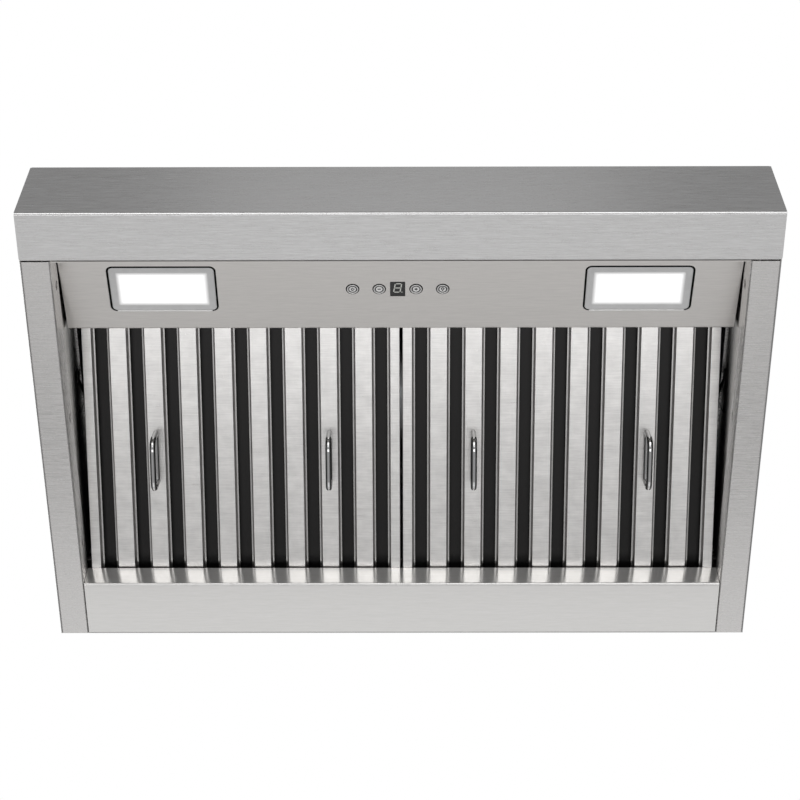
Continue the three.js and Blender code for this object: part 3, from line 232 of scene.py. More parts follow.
def brushed(name, along, tint, roughness, contrast=0.06, relief=0.08, shade=None,
            metallic=1.0, uneven=0.07):
    """Steel sheet with its grain along one axis, darker where its shade says so.

    Contrast is how much the grain shows in the colour, relief in the surface and uneven in the gloss.
    """
    nodes = Nodes(name)
    fine = nodes.noise(GRAIN[along], detail=4, roughness=0.7)
    broad = nodes.noise(STREAK[along], detail=3, roughness=0.6)
    grain = nodes.mixed(fine, broad, 0.3)
    colour = nodes.ramp(grain, [(0.3, lighter(tint, -contrast)), (0.7, lighter(tint, contrast))])
    if shade:
        colour = nodes.scaled(colour, shade(nodes))
    nodes.link(colour, nodes.shader.inputs["Base Color"])
    nodes.link(nodes.spread(grain, roughness - uneven, roughness + uneven, 0.3, 0.7),
               nodes.shader.inputs["Roughness"])
    nodes.bump(grain, relief, GRAIN_HEIGHT)
    nodes.set(Metallic=metallic)
    return nodes.material


def plain(name, tint, roughness, metallic=0.0, mottle=0.03, grain=60.0, **others):
    """An even finish with a faint mottle; others are more of the shader's own values."""
    nodes = Nodes(name)
    cloud = nodes.noise((grain,) * 3, detail=4)
    colour = nodes.ramp(cloud, [(0.3, lighter(tint, -mottle)), (0.7, lighter(tint, mottle))])
    nodes.link(colour, nodes.shader.inputs["Base Color"])
    nodes.link(nodes.spread(cloud, roughness - 0.03, roughness + 0.03), nodes.shader.inputs["Roughness"])
    nodes.set(Metallic=metallic, **others)
    return nodes.material


FACE_STEEL = brushed("face_steel", "x", (0.89, 0.875, 0.87), 0.3, contrast=0.19)
SIDE_TINT = (0.8, 0.785, 0.775)
SIDE_STEEL = brushed("side_steel", "x", SIDE_TINT, 0.27, contrast=0.13)
WALL_STEEL = brushed("side_wall_steel", "y", SIDE_TINT, 0.27, contrast=0.13)
LINER_STEEL = brushed("liner_steel", "y", (0.62, 0.6, 0.58), 0.26, shade=shade_of_depth)
PANEL_STEEL = brushed("panel_steel", "x", (0.82, 0.795, 0.77), 0.3, relief=0.03, uneven=0.015)
REAR_STEEL = brushed("rear_steel", "x", (0.84, 0.83, 0.815), 0.16, contrast=0.07, relief=0.02,
                     metallic=0.7, uneven=0.03)
BAFFLE_STEEL = brushed("baffle_steel", "x", (0.895, 0.88, 0.865), 0.33, contrast=0.1, relief=0.12,
                       shade=shade_of_folds)
# Painted shade: the channels behind the gaps are steel tinted near black for the shade that fills them.
CHANNEL_PAINTED_SHADE = brushed("channel_steel_painted_shade", "y", (0.036, 0.035, 0.035), 0.4, contrast=0.1)
CHROME = plain("chrome", (0.9, 0.9, 0.9), 0.07, 1.0, mottle=0.0)
ZINC = plain("zinc_sheet", (0.62, 0.64, 0.65), 0.42, 1.0, mottle=0.12, grain=35)
ALUMINIUM = plain("aluminium", (0.7, 0.71, 0.72), 0.4, 1.0)
FROSTED = plain("frosted_lens", (0.86, 0.88, 0.88), 0.4)
DARK_GLASS = plain("display_glass", (0.042, 0.042, 0.042), 0.2)
BUTTON_CHROME = plain("button_chrome", (0.97, 0.965, 0.96), 0.3, 1.0, mottle=0.0)
# Painted shade: the springs and the stop are tinted near black so they sink into the shade beside the
# filters.
SPRING_PAINTED_SHADE = plain("spring_painted_shade", (0.02, 0.02, 0.02), 0.5, 1.0)
# Ink for the icons; the same near black is also painted shade in the slot round each cap.
INK_AND_PAINTED_SHADE = plain("icon_ink_and_painted_shade", (0.01, 0.01, 0.01), 0.7, Specular_IOR_Level=0.1)
DIGIT_LIGHT = plain("digit_light", (0.55, 0.56, 0.53), 0.4, Emission_Color=(0.9, 0.92, 0.85, 1),
                    Emission_Strength=0.2)
BOARD_GREEN = plain("circuit_board", (0.03, 0.12, 0.05), 0.5)
WHITE_PLASTIC = plain("white_plastic", (0.72, 0.71, 0.68), 0.5)
BLACK_PLASTIC = plain("black_plastic", (0.02, 0.02, 0.022), 0.5)
# Painted shade: near black for the shadowed slot round each lamp's lens.
LAMP_SLOT_PAINTED_SHADE = plain("lamp_slot_painted_shade", (0.008, 0.008, 0.008), 0.8, Specular_IOR_Level=0.1)
MOTOR_PAINT = plain("motor_paint", (0.045, 0.05, 0.056), 0.45, mottle=0.1)

FINISHES = {
    FACE_STEEL: ["front_panel"],
    SIDE_STEEL: ["side_panel_left", "side_panel_right"],
    LINER_STEEL: ["side_liner_left", "side_liner_right"],
    PANEL_STEEL: ["control_panel"],
    REAR_STEEL: ["rear_panel"],
    BAFFLE_STEEL: ["filter_left", "filter_right"],
    CHROME: ["handle_outer_left", "handle_inner_left", "handle_inner_right", "handle_outer_right",
             "button_power", "button_minus", "button_plus", "button_light", "motor_shaft", "damper_rod"],
    ZINC: ["upper_housing", "blower_scroll", "inlet_ring_left", "inlet_ring_right", "motor_bracket",
           "capacitor_clip", "duct_collar", "junction_box", "junction_cover"],
    SPRING_PAINTED_SHADE: ["filter_stop", "filter_spring_left", "filter_spring_right"],
    ALUMINIUM: ["lamp_can_left", "lamp_can_right", "fan_wheel", "damper_flap_front", "damper_flap_rear"],
    FROSTED: ["lamp_lens_left", "lamp_lens_right"],
    DARK_GLASS: ["display_window"],
    BOARD_GREEN: ["lamp_board_left", "lamp_board_right", "control_board"],
    WHITE_PLASTIC: ["capacitor", "lamp_driver"],
    BLACK_PLASTIC: ["control_tray", "cable_gland"],
    MOTOR_PAINT: ["motor"],
}


def paint(piece, material):
    piece.data.materials.clear()
    piece.data.materials.append(material)


for material, nodes_of_it in FINISHES.items():
    for node in nodes_of_it:
        paint(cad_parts[node], material)


# ---------------------------------------------------------------- making pieces

def put(mesh, name, body, material, replaced=()):
    """Turns a bmesh into a finished piece that rides on a body of the frame."""
    data = bpy.data.meshes.new(name)
    mesh.to_mesh(data)
    mesh.free()
    piece = bpy.data.objects.new(name, data)
    bpy.context.scene.collection.objects.link(piece)
    paint(piece, material)
    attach(piece, body)
    if replaced:
        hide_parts(*replaced)
    return piece


def smooth(piece, angle):
    """Smooth shading, broken where faces meet at more than this angle, and flat faces kept flat."""
    piece.data.shade_smooth()
    piece.data.set_sharp_from_angle(angle=math.radians(angle))
    weighted = piece.modifiers.new("flat_faces", "WEIGHTED_NORMAL")
    weighted.keep_sharp = True


SHARP_ANGLE = math.radians(40)
FLAT_ANGLE = math.radians(0.4)
SAME_PLACE = 0.002 * MM


def merged_copy(node):
    """The CAD piece's shape with its triangles merged into whole faces."""
    mesh = bmesh.new()
    mesh.from_mesh(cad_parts[node].data)
    bmesh.ops.remove_doubles(mesh, verts=mesh.verts, dist=SAME_PLACE)
    bmesh.ops.dissolve_limit(mesh, angle_limit=FLAT_ANGLE, verts=mesh.verts, edges=mesh.edges,
                             use_dissolve_boundaries=False)
    return mesh


def sharp_edges(mesh):
    return [e for e in mesh.edges if len(e.link_faces) == 2 and e.calc_face_angle(0) > SHARP_ANGLE]


def rounded(mesh, edges, width, segments):
    bmesh.ops.bevel(mesh, geom=edges, offset=width, offset_type="OFFSET", segments=segments,
                    profile=0.5, affect="EDGES", material=-1, clamp_overlap=True)


# ---------------------------------------------------------------- shell

FRONT_BEND = 1.6 * MM
SHEET_EDGE = 0.28 * MM
HOUSING_EDGE = 0.5 * MM
COLLAR_EDGE = 0.2 * MM
GLAND_EDGE = 0.3 * MM
ON_THE_BEND = 0.05 * MM


def front_bend(mesh):
    """The long edge where the front face turns under into the lip."""
    return [e for e in sharp_edges(mesh)
            if all(abs(v.co.y - FRONT) < ON_THE_BEND and abs(v.co.z) < ON_THE_BEND for v in e.verts)]


def sheet_piece(node, name, material, edge=SHEET_EDGE):
    """A piece of the shell with its edges rounded, the front bend by more."""
    mesh = merged_copy(node)
    if node == "front_panel":
        rounded(mesh, front_bend(mesh), FRONT_BEND, 4)
    rounded(mesh, sharp_edges(mesh), edge, 2)
    piece = put(mesh, name, "hood", material, [node])
    smooth(piece, 50)
    return piece


def side_piece(side):
    """A side, with the grain of its upright walls running front to rear."""
    piece = sheet_piece("side_panel_" + side, "side_rim_" + side, SIDE_STEEL)
    piece.data.materials.append(WALL_STEEL)
    for face in piece.data.polygons:
        if abs(face.normal.x) > 0.7:
            face.material_index = 1


sheet_piece("front_panel", "front_face", FACE_STEEL)
side_piece("left")
side_piece("right")
sheet_piece("rear_panel", "rear_strip", REAR_STEEL)
sheet_piece("control_panel", "lamp_panel", PANEL_STEEL)
sheet_piece("upper_housing", "blower_housing", ZINC, HOUSING_EDGE)
sheet_piece("duct_collar", "outlet_collar", ZINC, COLLAR_EDGE)
sheet_piece("cable_gland", "wire_gland", BLACK_PLASTIC, GLAND_EDGE)


# ---------------------------------------------------------------- bent sheet and wire

CORNER_STEPS = 4
BEND_STEPS = 8
WIRE_SIDES = 20
TOUCHING = 0.001 * MM


def rounded_line(corners, radius):
    """A bent sheet's line on its visible face, with every inner corner rounded."""
    line = [Vector(corners[0])]
    for before, at, after in zip(corners, corners[1:], corners[2:]):
        corner = Vector(at)
        back = (Vector(before) - corner).normalized()
        ahead = (Vector(after) - corner).normalized()
        bend = math.pi - back.angle(ahead)
        reach = radius * math.tan(bend / 2)
        centre = corner + (back + ahead).normalized() * radius / math.cos(bend / 2)
        spoke = corner + back * reach - centre
        way = -1 if back.cross(ahead) > 0 else 1
        for step in range(CORNER_STEPS + 1):
            line.append(centre + Matrix.Rotation(way * bend * step / CORNER_STEPS, 2) @ spoke)
    return line + [Vector(corners[-1])]


def sheet_outline(corners, radius, thickness, side):
    """The closed outline of a bent sheet; its thickness lies left of the line where side is 1."""
    line = rounded_line(corners, radius)
    back = []
    for i, point in enumerate(line):
        sides = []
        for a, b in ((i - 1, i), (i, i + 1)):
            if a >= 0 and b < len(line):
                along = (line[b] - line[a]).normalized()
                sides.append(Vector((-along.y, along.x)) * side)
        mitre = sides[0] if len(sides) == 1 else (sides[0] + sides[1]) / (1 + sides[0].dot(sides[1]))
        back.append(point + mitre * thickness)
    return line + back[::-1]


def grown_verts(grown):
    return [g for g in grown["geom"] if isinstance(g, bmesh.types.BMVert)]


def grown_face(grown):
    return next(g for g in grown["geom"] if isinstance(g, bmesh.types.BMFace))


def pulled(mesh, cap, move):
    """Extrudes a face straight on."""
    grown = bmesh.ops.extrude_face_region(mesh, geom=[cap])
    bmesh.ops.translate(mesh, verts=grown_verts(grown), vec=move)
    return grown_face(grown)


def turned(mesh, cap, centre):
    """Extrudes a face round a quarter turn about an axis along X."""
    for step in range(BEND_STEPS):
        grown = bmesh.ops.extrude_face_region(mesh, geom=[cap])
        bmesh.ops.rotate(mesh, cent=centre, verts=grown_verts(grown),
                         matrix=Matrix.Rotation(math.pi / 2 / BEND_STEPS, 3, "X"))
        cap = grown_face(grown)
    return cap


def run_along(mesh, ring, moves):
    """Extrudes a closed ring of points by one move after another."""
    cap = mesh.faces.new([mesh.verts.new(point) for point in ring])
    for move in moves:
        cap = pulled(mesh, cap, move)


def wire_end(mesh, radius, place):
    """The round end that a wire starts from."""
    made = bmesh.ops.create_circle(mesh, cap_ends=True, segments=WIRE_SIDES, radius=radius, matrix=place)
    return made["verts"][0].link_faces[0]


def closed(mesh):
    """Merges what touches and points every face outwards."""
    bmesh.ops.remove_doubles(mesh, verts=mesh.verts, dist=TOUCHING)
    bmesh.ops.recalc_face_normals(mesh, faces=mesh.faces)
    return mesh


# ---------------------------------------------------------------- baffle filters
# Laid out on the filters' own slope: X across, Y down to the rear, Z in from the visible face.

FILTER_SHEET = 0.8 * MM
FILTER_BEND = 0.8 * MM
FILTER_DEPTH = 18 * MM
FILTER_FRONT = -286 * MM
FILTER_REAR = 17 * MM
FILTER_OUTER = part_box("filter_left")[0].x
FILTER_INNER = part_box("filter_left")[1].x
FRAME_SIDE = 10.7 * MM
FRAME_END = 10.4 * MM

BARS = 8
BAR_WIDTH = 18.9 * MM
BAR_DEPTH = 6.5 * MM
BAR_BRIM = 2.8 * MM
BAR_PITCH = (FILTER_INNER - FILTER_OUTER - 2 * FRAME_SIDE + BAR_WIDTH) / (BARS + 1)
BAR_GAP = BAR_PITCH - BAR_WIDTH
BARS_FRONT = FILTER_FRONT + FRAME_END - 2 * FILTER_SHEET
BARS_REAR = FILTER_REAR - FRAME_END + 2 * FILTER_SHEET

CHANNEL_OVERLAP = 2.2 * MM
CHANNEL_LEAN = 1.2 * MM
CHANNEL_BEND = 1.2 * MM
CHANNEL_CLEAR = 3.4 * MM

# From the tip of a brim to the corner of the face, as (past the face's edge, depth).
CHEEK = [
    (BAR_BRIM, BAR_DEPTH + 1.0 * MM),
    (BAR_BRIM - 1.5 * MM, BAR_DEPTH + 0.8 * MM),
    (-0.6 * MM, BAR_DEPTH - 1.2 * MM),
    (0, 0),
]

# How a bar turns in under the frame at its rear end, as (place along, depth).
BAR_TURN = [(-10 * MM, 0), (-6 * MM, 0.15 * MM), (-2.5 * MM, 0.55 * MM), (0, 1.2 * MM)]


def bar_section(centre):
    """Flat face, cheeks, and the brims that turn out under the gaps."""
    half = BAR_WIDTH / 2
    right = [(centre + half + x, z) for x, z in CHEEK]
    left = [(centre - half - x, z) for x, z in reversed(CHEEK)]
    return sheet_outline(right + left, FILTER_BEND, FILTER_SHEET, -1)


def channel_section(centre):
    """The wider channel behind a gap."""
    half = BAR_GAP / 2 + CHANNEL_OVERLAP
    top = FILTER_DEPTH - FILTER_SHEET
    corners = [
        (half, BAR_DEPTH + CHANNEL_CLEAR),
        (half - CHANNEL_LEAN, top),
        (CHANNEL_LEAN - half, top),
        (-half, BAR_DEPTH + CHANNEL_CLEAR),
    ]
    return sheet_outline([(centre + x, z) for x, z in corners], CHANNEL_BEND, FILTER_SHEET, 1)


def frame_section(outer, inward, width, cheek):
    """A side of the frame: cheek, face, outer wall and inner flange."""
    corners = [
        *((outer + inward * (width + x), z) for x, z in cheek),
        (outer, 0),
        (outer, FILTER_DEPTH),
        (outer + inward * width, FILTER_DEPTH),
    ]
    return sheet_outline(corners, FILTER_BEND, FILTER_SHEET, -inward)


def along_filter(mesh, section, start, end, turn=()):
    """Runs a section down the filter, through a turn given as (place along, depth)."""
    stops = [(start, 0), *turn, (end, turn[-1][1] if turn else 0)]
    moves = [(0, b[0] - a[0], b[1] - a[1]) for a, b in zip(stops, stops[1:])]
    run_along(mesh, [(x, start, z) for x, z in section], moves)


def across_filter(mesh, section):
    """Runs a section over the whole width of the filter."""
    run_along(mesh, [(FILTER_OUTER, y, z) for y, z in section], [(FILTER_INNER - FILTER_OUTER, 0, 0)])


def filter_bars():
    """The frame and the bars welded into it."""
    mesh = bmesh.new()
    for bar in range(1, BARS + 1):
        centre = FILTER_OUTER + FRAME_SIDE + bar * BAR_PITCH - BAR_WIDTH / 2
        along_filter(mesh, bar_section(centre), BARS_FRONT, BARS_REAR, BAR_TURN)
    for edge, inward in ((FILTER_OUTER, 1), (FILTER_INNER, -1)):
        along_filter(mesh, frame_section(edge, inward, FRAME_SIDE, CHEEK), FILTER_FRONT, FILTER_REAR)
    for edge, inward in ((FILTER_FRONT, 1), (FILTER_REAR, -1)):
        across_filter(mesh, frame_section(edge, inward, FRAME_END, CHEEK[-1:]))
    return mesh


def filter_channels():
    """The channels behind the gaps, tinted near black as painted shade."""
    mesh = bmesh.new()
    for gap in range(BARS + 1):
        centre = FILTER_OUTER + FRAME_SIDE + gap * BAR_PITCH + BAR_GAP / 2
        along_filter(mesh, channel_section(centre), BARS_FRONT, BARS_REAR)
    return mesh


def on_filter(mesh, side):
    """Moves a mesh of the left filter to its slope, on its own side of the hood."""
    if side == "right":
        bmesh.ops.scale(mesh, verts=mesh.verts, vec=(-1, 1, 1))
    bmesh.ops.transform(mesh, matrix=ON_FILTER, verts=mesh.verts)
    return closed(mesh)


for side in ("left", "right"):
    body = "filter_" + side
    bars = on_filter(filter_bars(), side)
    smooth(put(bars, "filter_bars_" + side, body, BAFFLE_STEEL, [body]), 40)
    channels = on_filter(filter_channels(), side)
    smooth(put(channels, "filter_channels_" + side, body, CHANNEL_PAINTED_SHADE), 40)


# ---------------------------------------------------------------- wire handles
# Each is a closed ring whose base lies along the second bar in from a side of its filter.

HANDLE_WIRE = 3.15 * MM
HANDLE_BASE_WIRE = 2.7 * MM
HANDLE_LENGTH = 61 * MM
HANDLE_REACH = 38 * MM
HANDLE_CORNER = 10 * MM
HANDLE_FROM_PIVOT = 130 * MM
FOOT_LIFT = 0.2 * MM
HANDLE_IN = FRAME_SIDE + 2 * BAR_PITCH - BAR_WIDTH / 2
HANDLE_X = {"outer": FILTER_OUTER + HANDLE_IN, "inner": FILTER_INNER - HANDLE_IN}


def wire_ring(mesh, centre):
    """Leg, bend, grip, bend and leg in one run of wire, then a base rod between the feet."""
    span = HANDLE_LENGTH - 2 * HANDLE_WIRE
    drop = HANDLE_REACH - HANDLE_WIRE - HANDLE_CORNER
    foot = Vector((centre, -HANDLE_FROM_PIVOT - span / 2, -FOOT_LIFT))
    cap = wire_end(mesh, HANDLE_WIRE, Matrix.Translation(foot))
    cap = pulled(mesh, cap, (0, 0, -drop))
    cap = turned(mesh, cap, foot + Vector((0, HANDLE_CORNER, -drop)))
    cap = pulled(mesh, cap, (0, span - 2 * HANDLE_CORNER, 0))
    cap = turned(mesh, cap, foot + Vector((0, span - HANDLE_CORNER, -drop)))
    pulled(mesh, cap, (0, 0, drop))
    lying = Matrix.Translation((centre, foot.y, -HANDLE_BASE_WIRE)) @ Matrix.Rotation(math.pi / 2, 4, "X")
    pulled(mesh, wire_end(mesh, HANDLE_BASE_WIRE, lying), (0, span, 0))


def chrome_painted_dark_sides(place, side, centre):
    """Polished wire with a painted dark reflection along its sides, darker away from its middle line."""
    nodes = Nodes(f"wire_chrome_{place}_{side}")
    # Painted reflection: the colour falls from bright in the middle of the wire to near black at its
    # sides.
    sideways = nodes.math("ABSOLUTE", nodes.parts(nodes.place(location=(-centre, 0, 0)))["X"])
    share = nodes.spread(sideways, 0.0, 1.0, 0.0, HANDLE_WIRE)
    colour = nodes.ramp(share, [(0.1, 0.9), (0.4, 0.5), (0.7, 0.03)])
    nodes.link(colour, nodes.shader.inputs["Base Color"])
    nodes.set(Metallic=1.0, Roughness=0.12)
    return nodes.material


def handle_piece(place, side):
    mesh = bmesh.new()
    wire_ring(mesh, HANDLE_X[place])
    on_filter(mesh, side)
    # The handle's chrome carries a painted dark reflection along its sides.
    chrome = chrome_painted_dark_sides(place, side, HANDLE_X[place] if side == "left" else -HANDLE_X[place])
    node = f"handle_{place}_{side}"
    smooth(put(mesh, f"wire_{node}", "filter_" + side, chrome, [node]), 50)


for place in HANDLE_X:
    for side in ("left", "right"):
        handle_piece(place, side)


# ---------------------------------------------------------------- lamps
# Laid out on the panel's own slope: X across, Y to the rear, Z in from the visible face.

LAMP_X = {"left": -245 * MM, "right": 245 * MM}
LAMP_HOLE = (112 * MM, 61 * MM)
LAMP_CORNER = 6.6 * MM
SLOT_SHADE_DEPTH = 0.1 * MM
SLOT_SHADE_THICKNESS = 0.9 * MM

LENS = (108.4 * MM, 59 * MM)
LENS_THICKNESS = 3 * MM
LENS_CORNER = 5.4 * MM
LENS_EDGE = 0.5 * MM
LENS_SHIFT = 1.0 * MM
LENS_DEPTH = 0.8 * MM
LENS_BORDER = 9.9 * MM
GLOW_BLUR = 3.2 * MM
GLOW_CORNER = 3 * MM

BEAD_WIDTH = 1.6 * MM
BEAD_THICKNESS = 1.4 * MM
BEAD_EDGE = 0.75 * MM
BEAD_PROUD = 0.7 * MM


def on_panel(mesh, x, y, z=0.0):
    """Moves a mesh laid out round its own middle to its place on the sloped panel."""
    bmesh.ops.transform(mesh, matrix=ON_PANEL @ Matrix.Translation((x, y, z)), verts=mesh.verts)
    return closed(mesh)


def plate(width, length, thickness=0, corner=0, edge=0):
    """A plate with rounded corners and a rounded visible edge; its face is at zero."""
    mesh = bmesh.new()
    bmesh.ops.create_grid(mesh, x_segments=1, y_segments=1, size=0.5)
    bmesh.ops.scale(mesh, verts=mesh.verts, vec=(width, length, 1))
    if corner:
        bmesh.ops.bevel(mesh, geom=mesh.verts[:], offset=corner, offset_type="OFFSET", segments=8,
                        profile=0.5, affect="VERTICES", material=-1)
    if not thickness:
        return mesh
    grown = bmesh.ops.extrude_face_region(mesh, geom=mesh.faces[:])
    bmesh.ops.translate(mesh, verts=grown_verts(grown), vec=(0, 0, thickness))
    if edge:
        rim = [e for e in mesh.edges if all(abs(v.co.z) < TOUCHING for v in e.verts)]
        bmesh.ops.bevel(mesh, geom=rim, offset=edge, offset_type="OFFSET", segments=3, profile=0.5,
                        affect="EDGES", material=-1)
    return mesh


def lamp_glow(side):
    """Frosted border round a lit middle whose edge is soft."""
    nodes = Nodes("lamp_glow_" + side)
    middle = Matrix.Translation((LAMP_X[side], LAMP_Y + LENS_SHIFT, 0))
    spot = nodes.local(ON_PANEL @ middle, PANEL_SLOPE)
    past_x, past_y = (nodes.math("SUBTRACT", nodes.math("ABSOLUTE", spot[axis]), size / 2 - LENS_BORDER)
                      for axis, size in zip("XY", LENS))
    outside = nodes.math("SMOOTH_MAX", past_x, past_y, GLOW_CORNER)
    lit = nodes.spread(outside, 1.0, 0.0, -GLOW_BLUR, GLOW_BLUR)
    nodes.link(lit, nodes.shader.inputs["Emission Strength"])
    cloud = nodes.noise((90, 90, 90), detail=4)
    nodes.link(nodes.ramp(cloud, [(0.3, 0.82), (0.7, 0.88)]), nodes.shader.inputs["Base Color"])
    nodes.set(Emission_Color=(1, 1, 1, 1), Roughness=0.32)
    return nodes.material


def lamp_slot_shade():
    """Painted shade: a near-black ring that fills the slot between a lens and the edge of its hole."""
    mesh = plate(*LAMP_HOLE, corner=LAMP_CORNER)
    slot = (LAMP_HOLE[0] - LENS[0]) / 2
    bmesh.ops.inset_region(mesh, faces=mesh.faces[:], thickness=slot, use_even_offset=True,
                           use_boundary=True)
    middle = max(mesh.faces, key=lambda face: face.calc_area())
    inner = middle.verts[:]
    bmesh.ops.scale(mesh, verts=inner, vec=(1, LENS[1] / (LAMP_HOLE[1] - 2 * slot), 1))
    bmesh.ops.translate(mesh, verts=inner, vec=(0, LENS_SHIFT, 0))
    bmesh.ops.delete(mesh, geom=[middle], context="FACES_ONLY")
    grown = bmesh.ops.extrude_face_region(mesh, geom=mesh.faces[:])
    bmesh.ops.translate(mesh, verts=grown_verts(grown), vec=(0, 0, SLOT_SHADE_THICKNESS))
    return mesh


def lamp_lens():
    return plate(*LENS, LENS_THICKNESS, LENS_CORNER, LENS_EDGE)


def lamp_bead():
    """Bright bead along the rear edge of a lamp's hole."""
    return plate(LAMP_HOLE[0] - 2 * LAMP_CORNER, BEAD_WIDTH, BEAD_THICKNESS, edge=BEAD_EDGE)


for side, x in LAMP_X.items():
    # A ring of painted shade fills the slot round the lens.
    lamp_slot_ring = on_panel(lamp_slot_shade(), x, LAMP_Y, SLOT_SHADE_DEPTH)
    put(lamp_slot_ring, "lamp_slot_shade_" + side, "hood", LAMP_SLOT_PAINTED_SHADE)
    lens = on_panel(lamp_lens(), x, LAMP_Y + LENS_SHIFT, LENS_DEPTH)
    cover = put(lens, "lamp_cover_" + side, "hood", lamp_glow(side), ["lamp_lens_" + side])
    smooth(cover, 40)
    bead = on_panel(lamp_bead(), x, LAMP_Y + LAMP_HOLE[1] / 2, -BEAD_PROUD)
    smooth(put(bead, "lamp_bead_" + side, "hood", BUTTON_CHROME), 40)


# ---------------------------------------------------------------- buttons and display
# Up on the icons and the digit is towards the hood's front, which is -Y on the panel.
# Depths run in from the panel's face, so what stands proud of it is below zero.

CONTROL_X = -3 * MM
CAP_X = {"power": -46.4 * MM, "minus": -19 * MM, "plus": 19 * MM, "light": 46.4 * MM}
CAP_DISH = -0.3 * MM
CAP_FACE = -0.36 * MM
CAP_FACE_EDGE = 3.5 * MM
CAP_GROOVE = (3.6 * MM, 4.45 * MM)
CAP_GROOVE_FLOOR = 0.1 * MM
CAP_STEP = (4.55 * MM, -0.4 * MM)
CAP_RIM = 5.45 * MM
CAP_RIM_HALF = 0.6 * MM
CAP_RIM_HEIGHT = 0.45 * MM
CAP_RIM_STEPS = 8
CAP_BACK = 1.4 * MM
GROOVE_DARK_RING = (3.62 * MM, 4.42 * MM, -0.38 * MM)
# The ring in the slot round a cap is painted shade.
CAP_SLOT_SHADE = (6.08 * MM, 6.9 * MM, -0.3 * MM)
DARK_RING_THICKNESS = 0.9 * MM

ICON_THICKNESS = 0.3 * MM
ICON_FACE = -0.42 * MM
LINE = 0.85 * MM
FINE_LINE = 0.8 * LINE
TURN_STEPS = 48
ARC_STEPS = 20


def spun(mesh, points):
    """Turns a line of (radius, depth) points about the middle of the mesh."""
    verts = [mesh.verts.new((radius, 0, depth)) for radius, depth in points]
    edges = [mesh.edges.new(pair) for pair in zip(verts, verts[1:])]
    bmesh.ops.spin(mesh, geom=verts + edges, cent=(0, 0, 0), axis=(0, 0, 1), dvec=(0, 0, 0),
                   angle=2 * math.pi, steps=TURN_STEPS, use_merge=True, use_normal_flip=False)


def button_cap():
    """Dished face with a groove round it, inside a raised rounded rim."""
    mesh = bmesh.new()
    rim = [(CAP_RIM - CAP_RIM_HALF * math.cos(a), -CAP_RIM_HEIGHT * (1 + math.sin(a)))
           for a in (math.pi * step / CAP_RIM_STEPS for step in range(CAP_RIM_STEPS + 1))]
    spun(mesh, [
        (0, CAP_DISH),
        (CAP_FACE_EDGE, CAP_FACE),
        (CAP_GROOVE[0], CAP_GROOVE_FLOOR),
        (CAP_GROOVE[1], CAP_GROOVE_FLOOR),
        CAP_STEP,
        *rim,
        (CAP_RIM + CAP_RIM_HALF, CAP_BACK),
        (0, CAP_BACK),
    ])
    return mesh


def cap_lines():
    """A dark ring in the groove, and a ring of painted shade that shows in the slot round the cap."""
    mesh = bmesh.new()
    for inner, outer, depth in (GROOVE_DARK_RING, CAP_SLOT_SHADE):
        back = depth + DARK_RING_THICKNESS
        spun(mesh, [(inner, depth), (outer, depth), (outer, back), (inner, back), (inner, depth)])
    return mesh


def bar_of(mesh, length, width, x=0.0, y=0.0):
    size = Matrix.Diagonal((length, width, ICON_THICKNESS, 1))
    bmesh.ops.create_cube(mesh, size=1.0, matrix=Matrix.Translation((x, y, 0)) @ size)


def arc_of(mesh, radius, width, start, sweep, y=0.0):
    """Part of a flat ring, spun from a small square."""
    half = width / 2
    low, high = -ICON_THICKNESS / 2, ICON_THICKNESS / 2
    corners = ((-half, low), (half, low), (half, high), (-half, high))
    ring = [mesh.verts.new((radius + r, y, z)) for r, z in corners]
    bmesh.ops.rotate(mesh, verts=ring, cent=(0, y, 0), matrix=Matrix.Rotation(start, 3, "Z"))
    bmesh.ops.spin(mesh, geom=[mesh.faces.new(ring)], cent=(0, y, 0), axis=(0, 0, 1), dvec=(0, 0, 0),
                   angle=sweep, steps=ARC_STEPS, use_merge=False, use_normal_flip=False)


def power_icon(mesh):
    arc_of(mesh, 1.45 * MM, FINE_LINE, math.radians(-52), math.radians(284))
    bar_of(mesh, FINE_LINE, 1.6 * MM, 0, -1.3 * MM)


def minus_icon(mesh):
    bar_of(mesh, 3.4 * MM, LINE)


def plus_icon(mesh):
    bar_of(mesh, 3.4 * MM, LINE)
    bar_of(mesh, LINE, 3.4 * MM)


def bulb_icon(mesh):
    arc_of(mesh, 1.35 * MM, LINE, math.radians(125), math.radians(290), -0.55 * MM)
    bar_of(mesh, 1.5 * MM, FINE_LINE, 0, 1.15 * MM)
    bar_of(mesh, 1.0 * MM, FINE_LINE, 0, 1.95 * MM)


ICONS = {"power": power_icon, "minus": minus_icon, "plus": plus_icon, "light": bulb_icon}
for key, cap_x in CAP_X.items():
    node = "button_" + key
    x = CONTROL_X + cap_x
    cap = on_panel(button_cap(), x, CONTROL_Y)
    smooth(put(cap, "cap_" + key, node, BUTTON_CHROME, [node]), 35)
    lines = on_panel(cap_lines(), x, CONTROL_Y)
    put(lines, "cap_lines_" + key, node, INK_AND_PAINTED_SHADE)
    icon = bmesh.new()
    ICONS[key](icon)
    on_panel(icon, x, CONTROL_Y, ICON_FACE)
    put(icon, "icon_" + key, node, INK_AND_PAINTED_SHADE)


WINDOW = (15 * MM, 19 * MM)
WINDOW_THICKNESS = 2.8 * MM
WINDOW_CORNER = 0.5 * MM
WINDOW_EDGE = 0.2 * MM
DISPLAY_DEPTH = 0.1 * MM

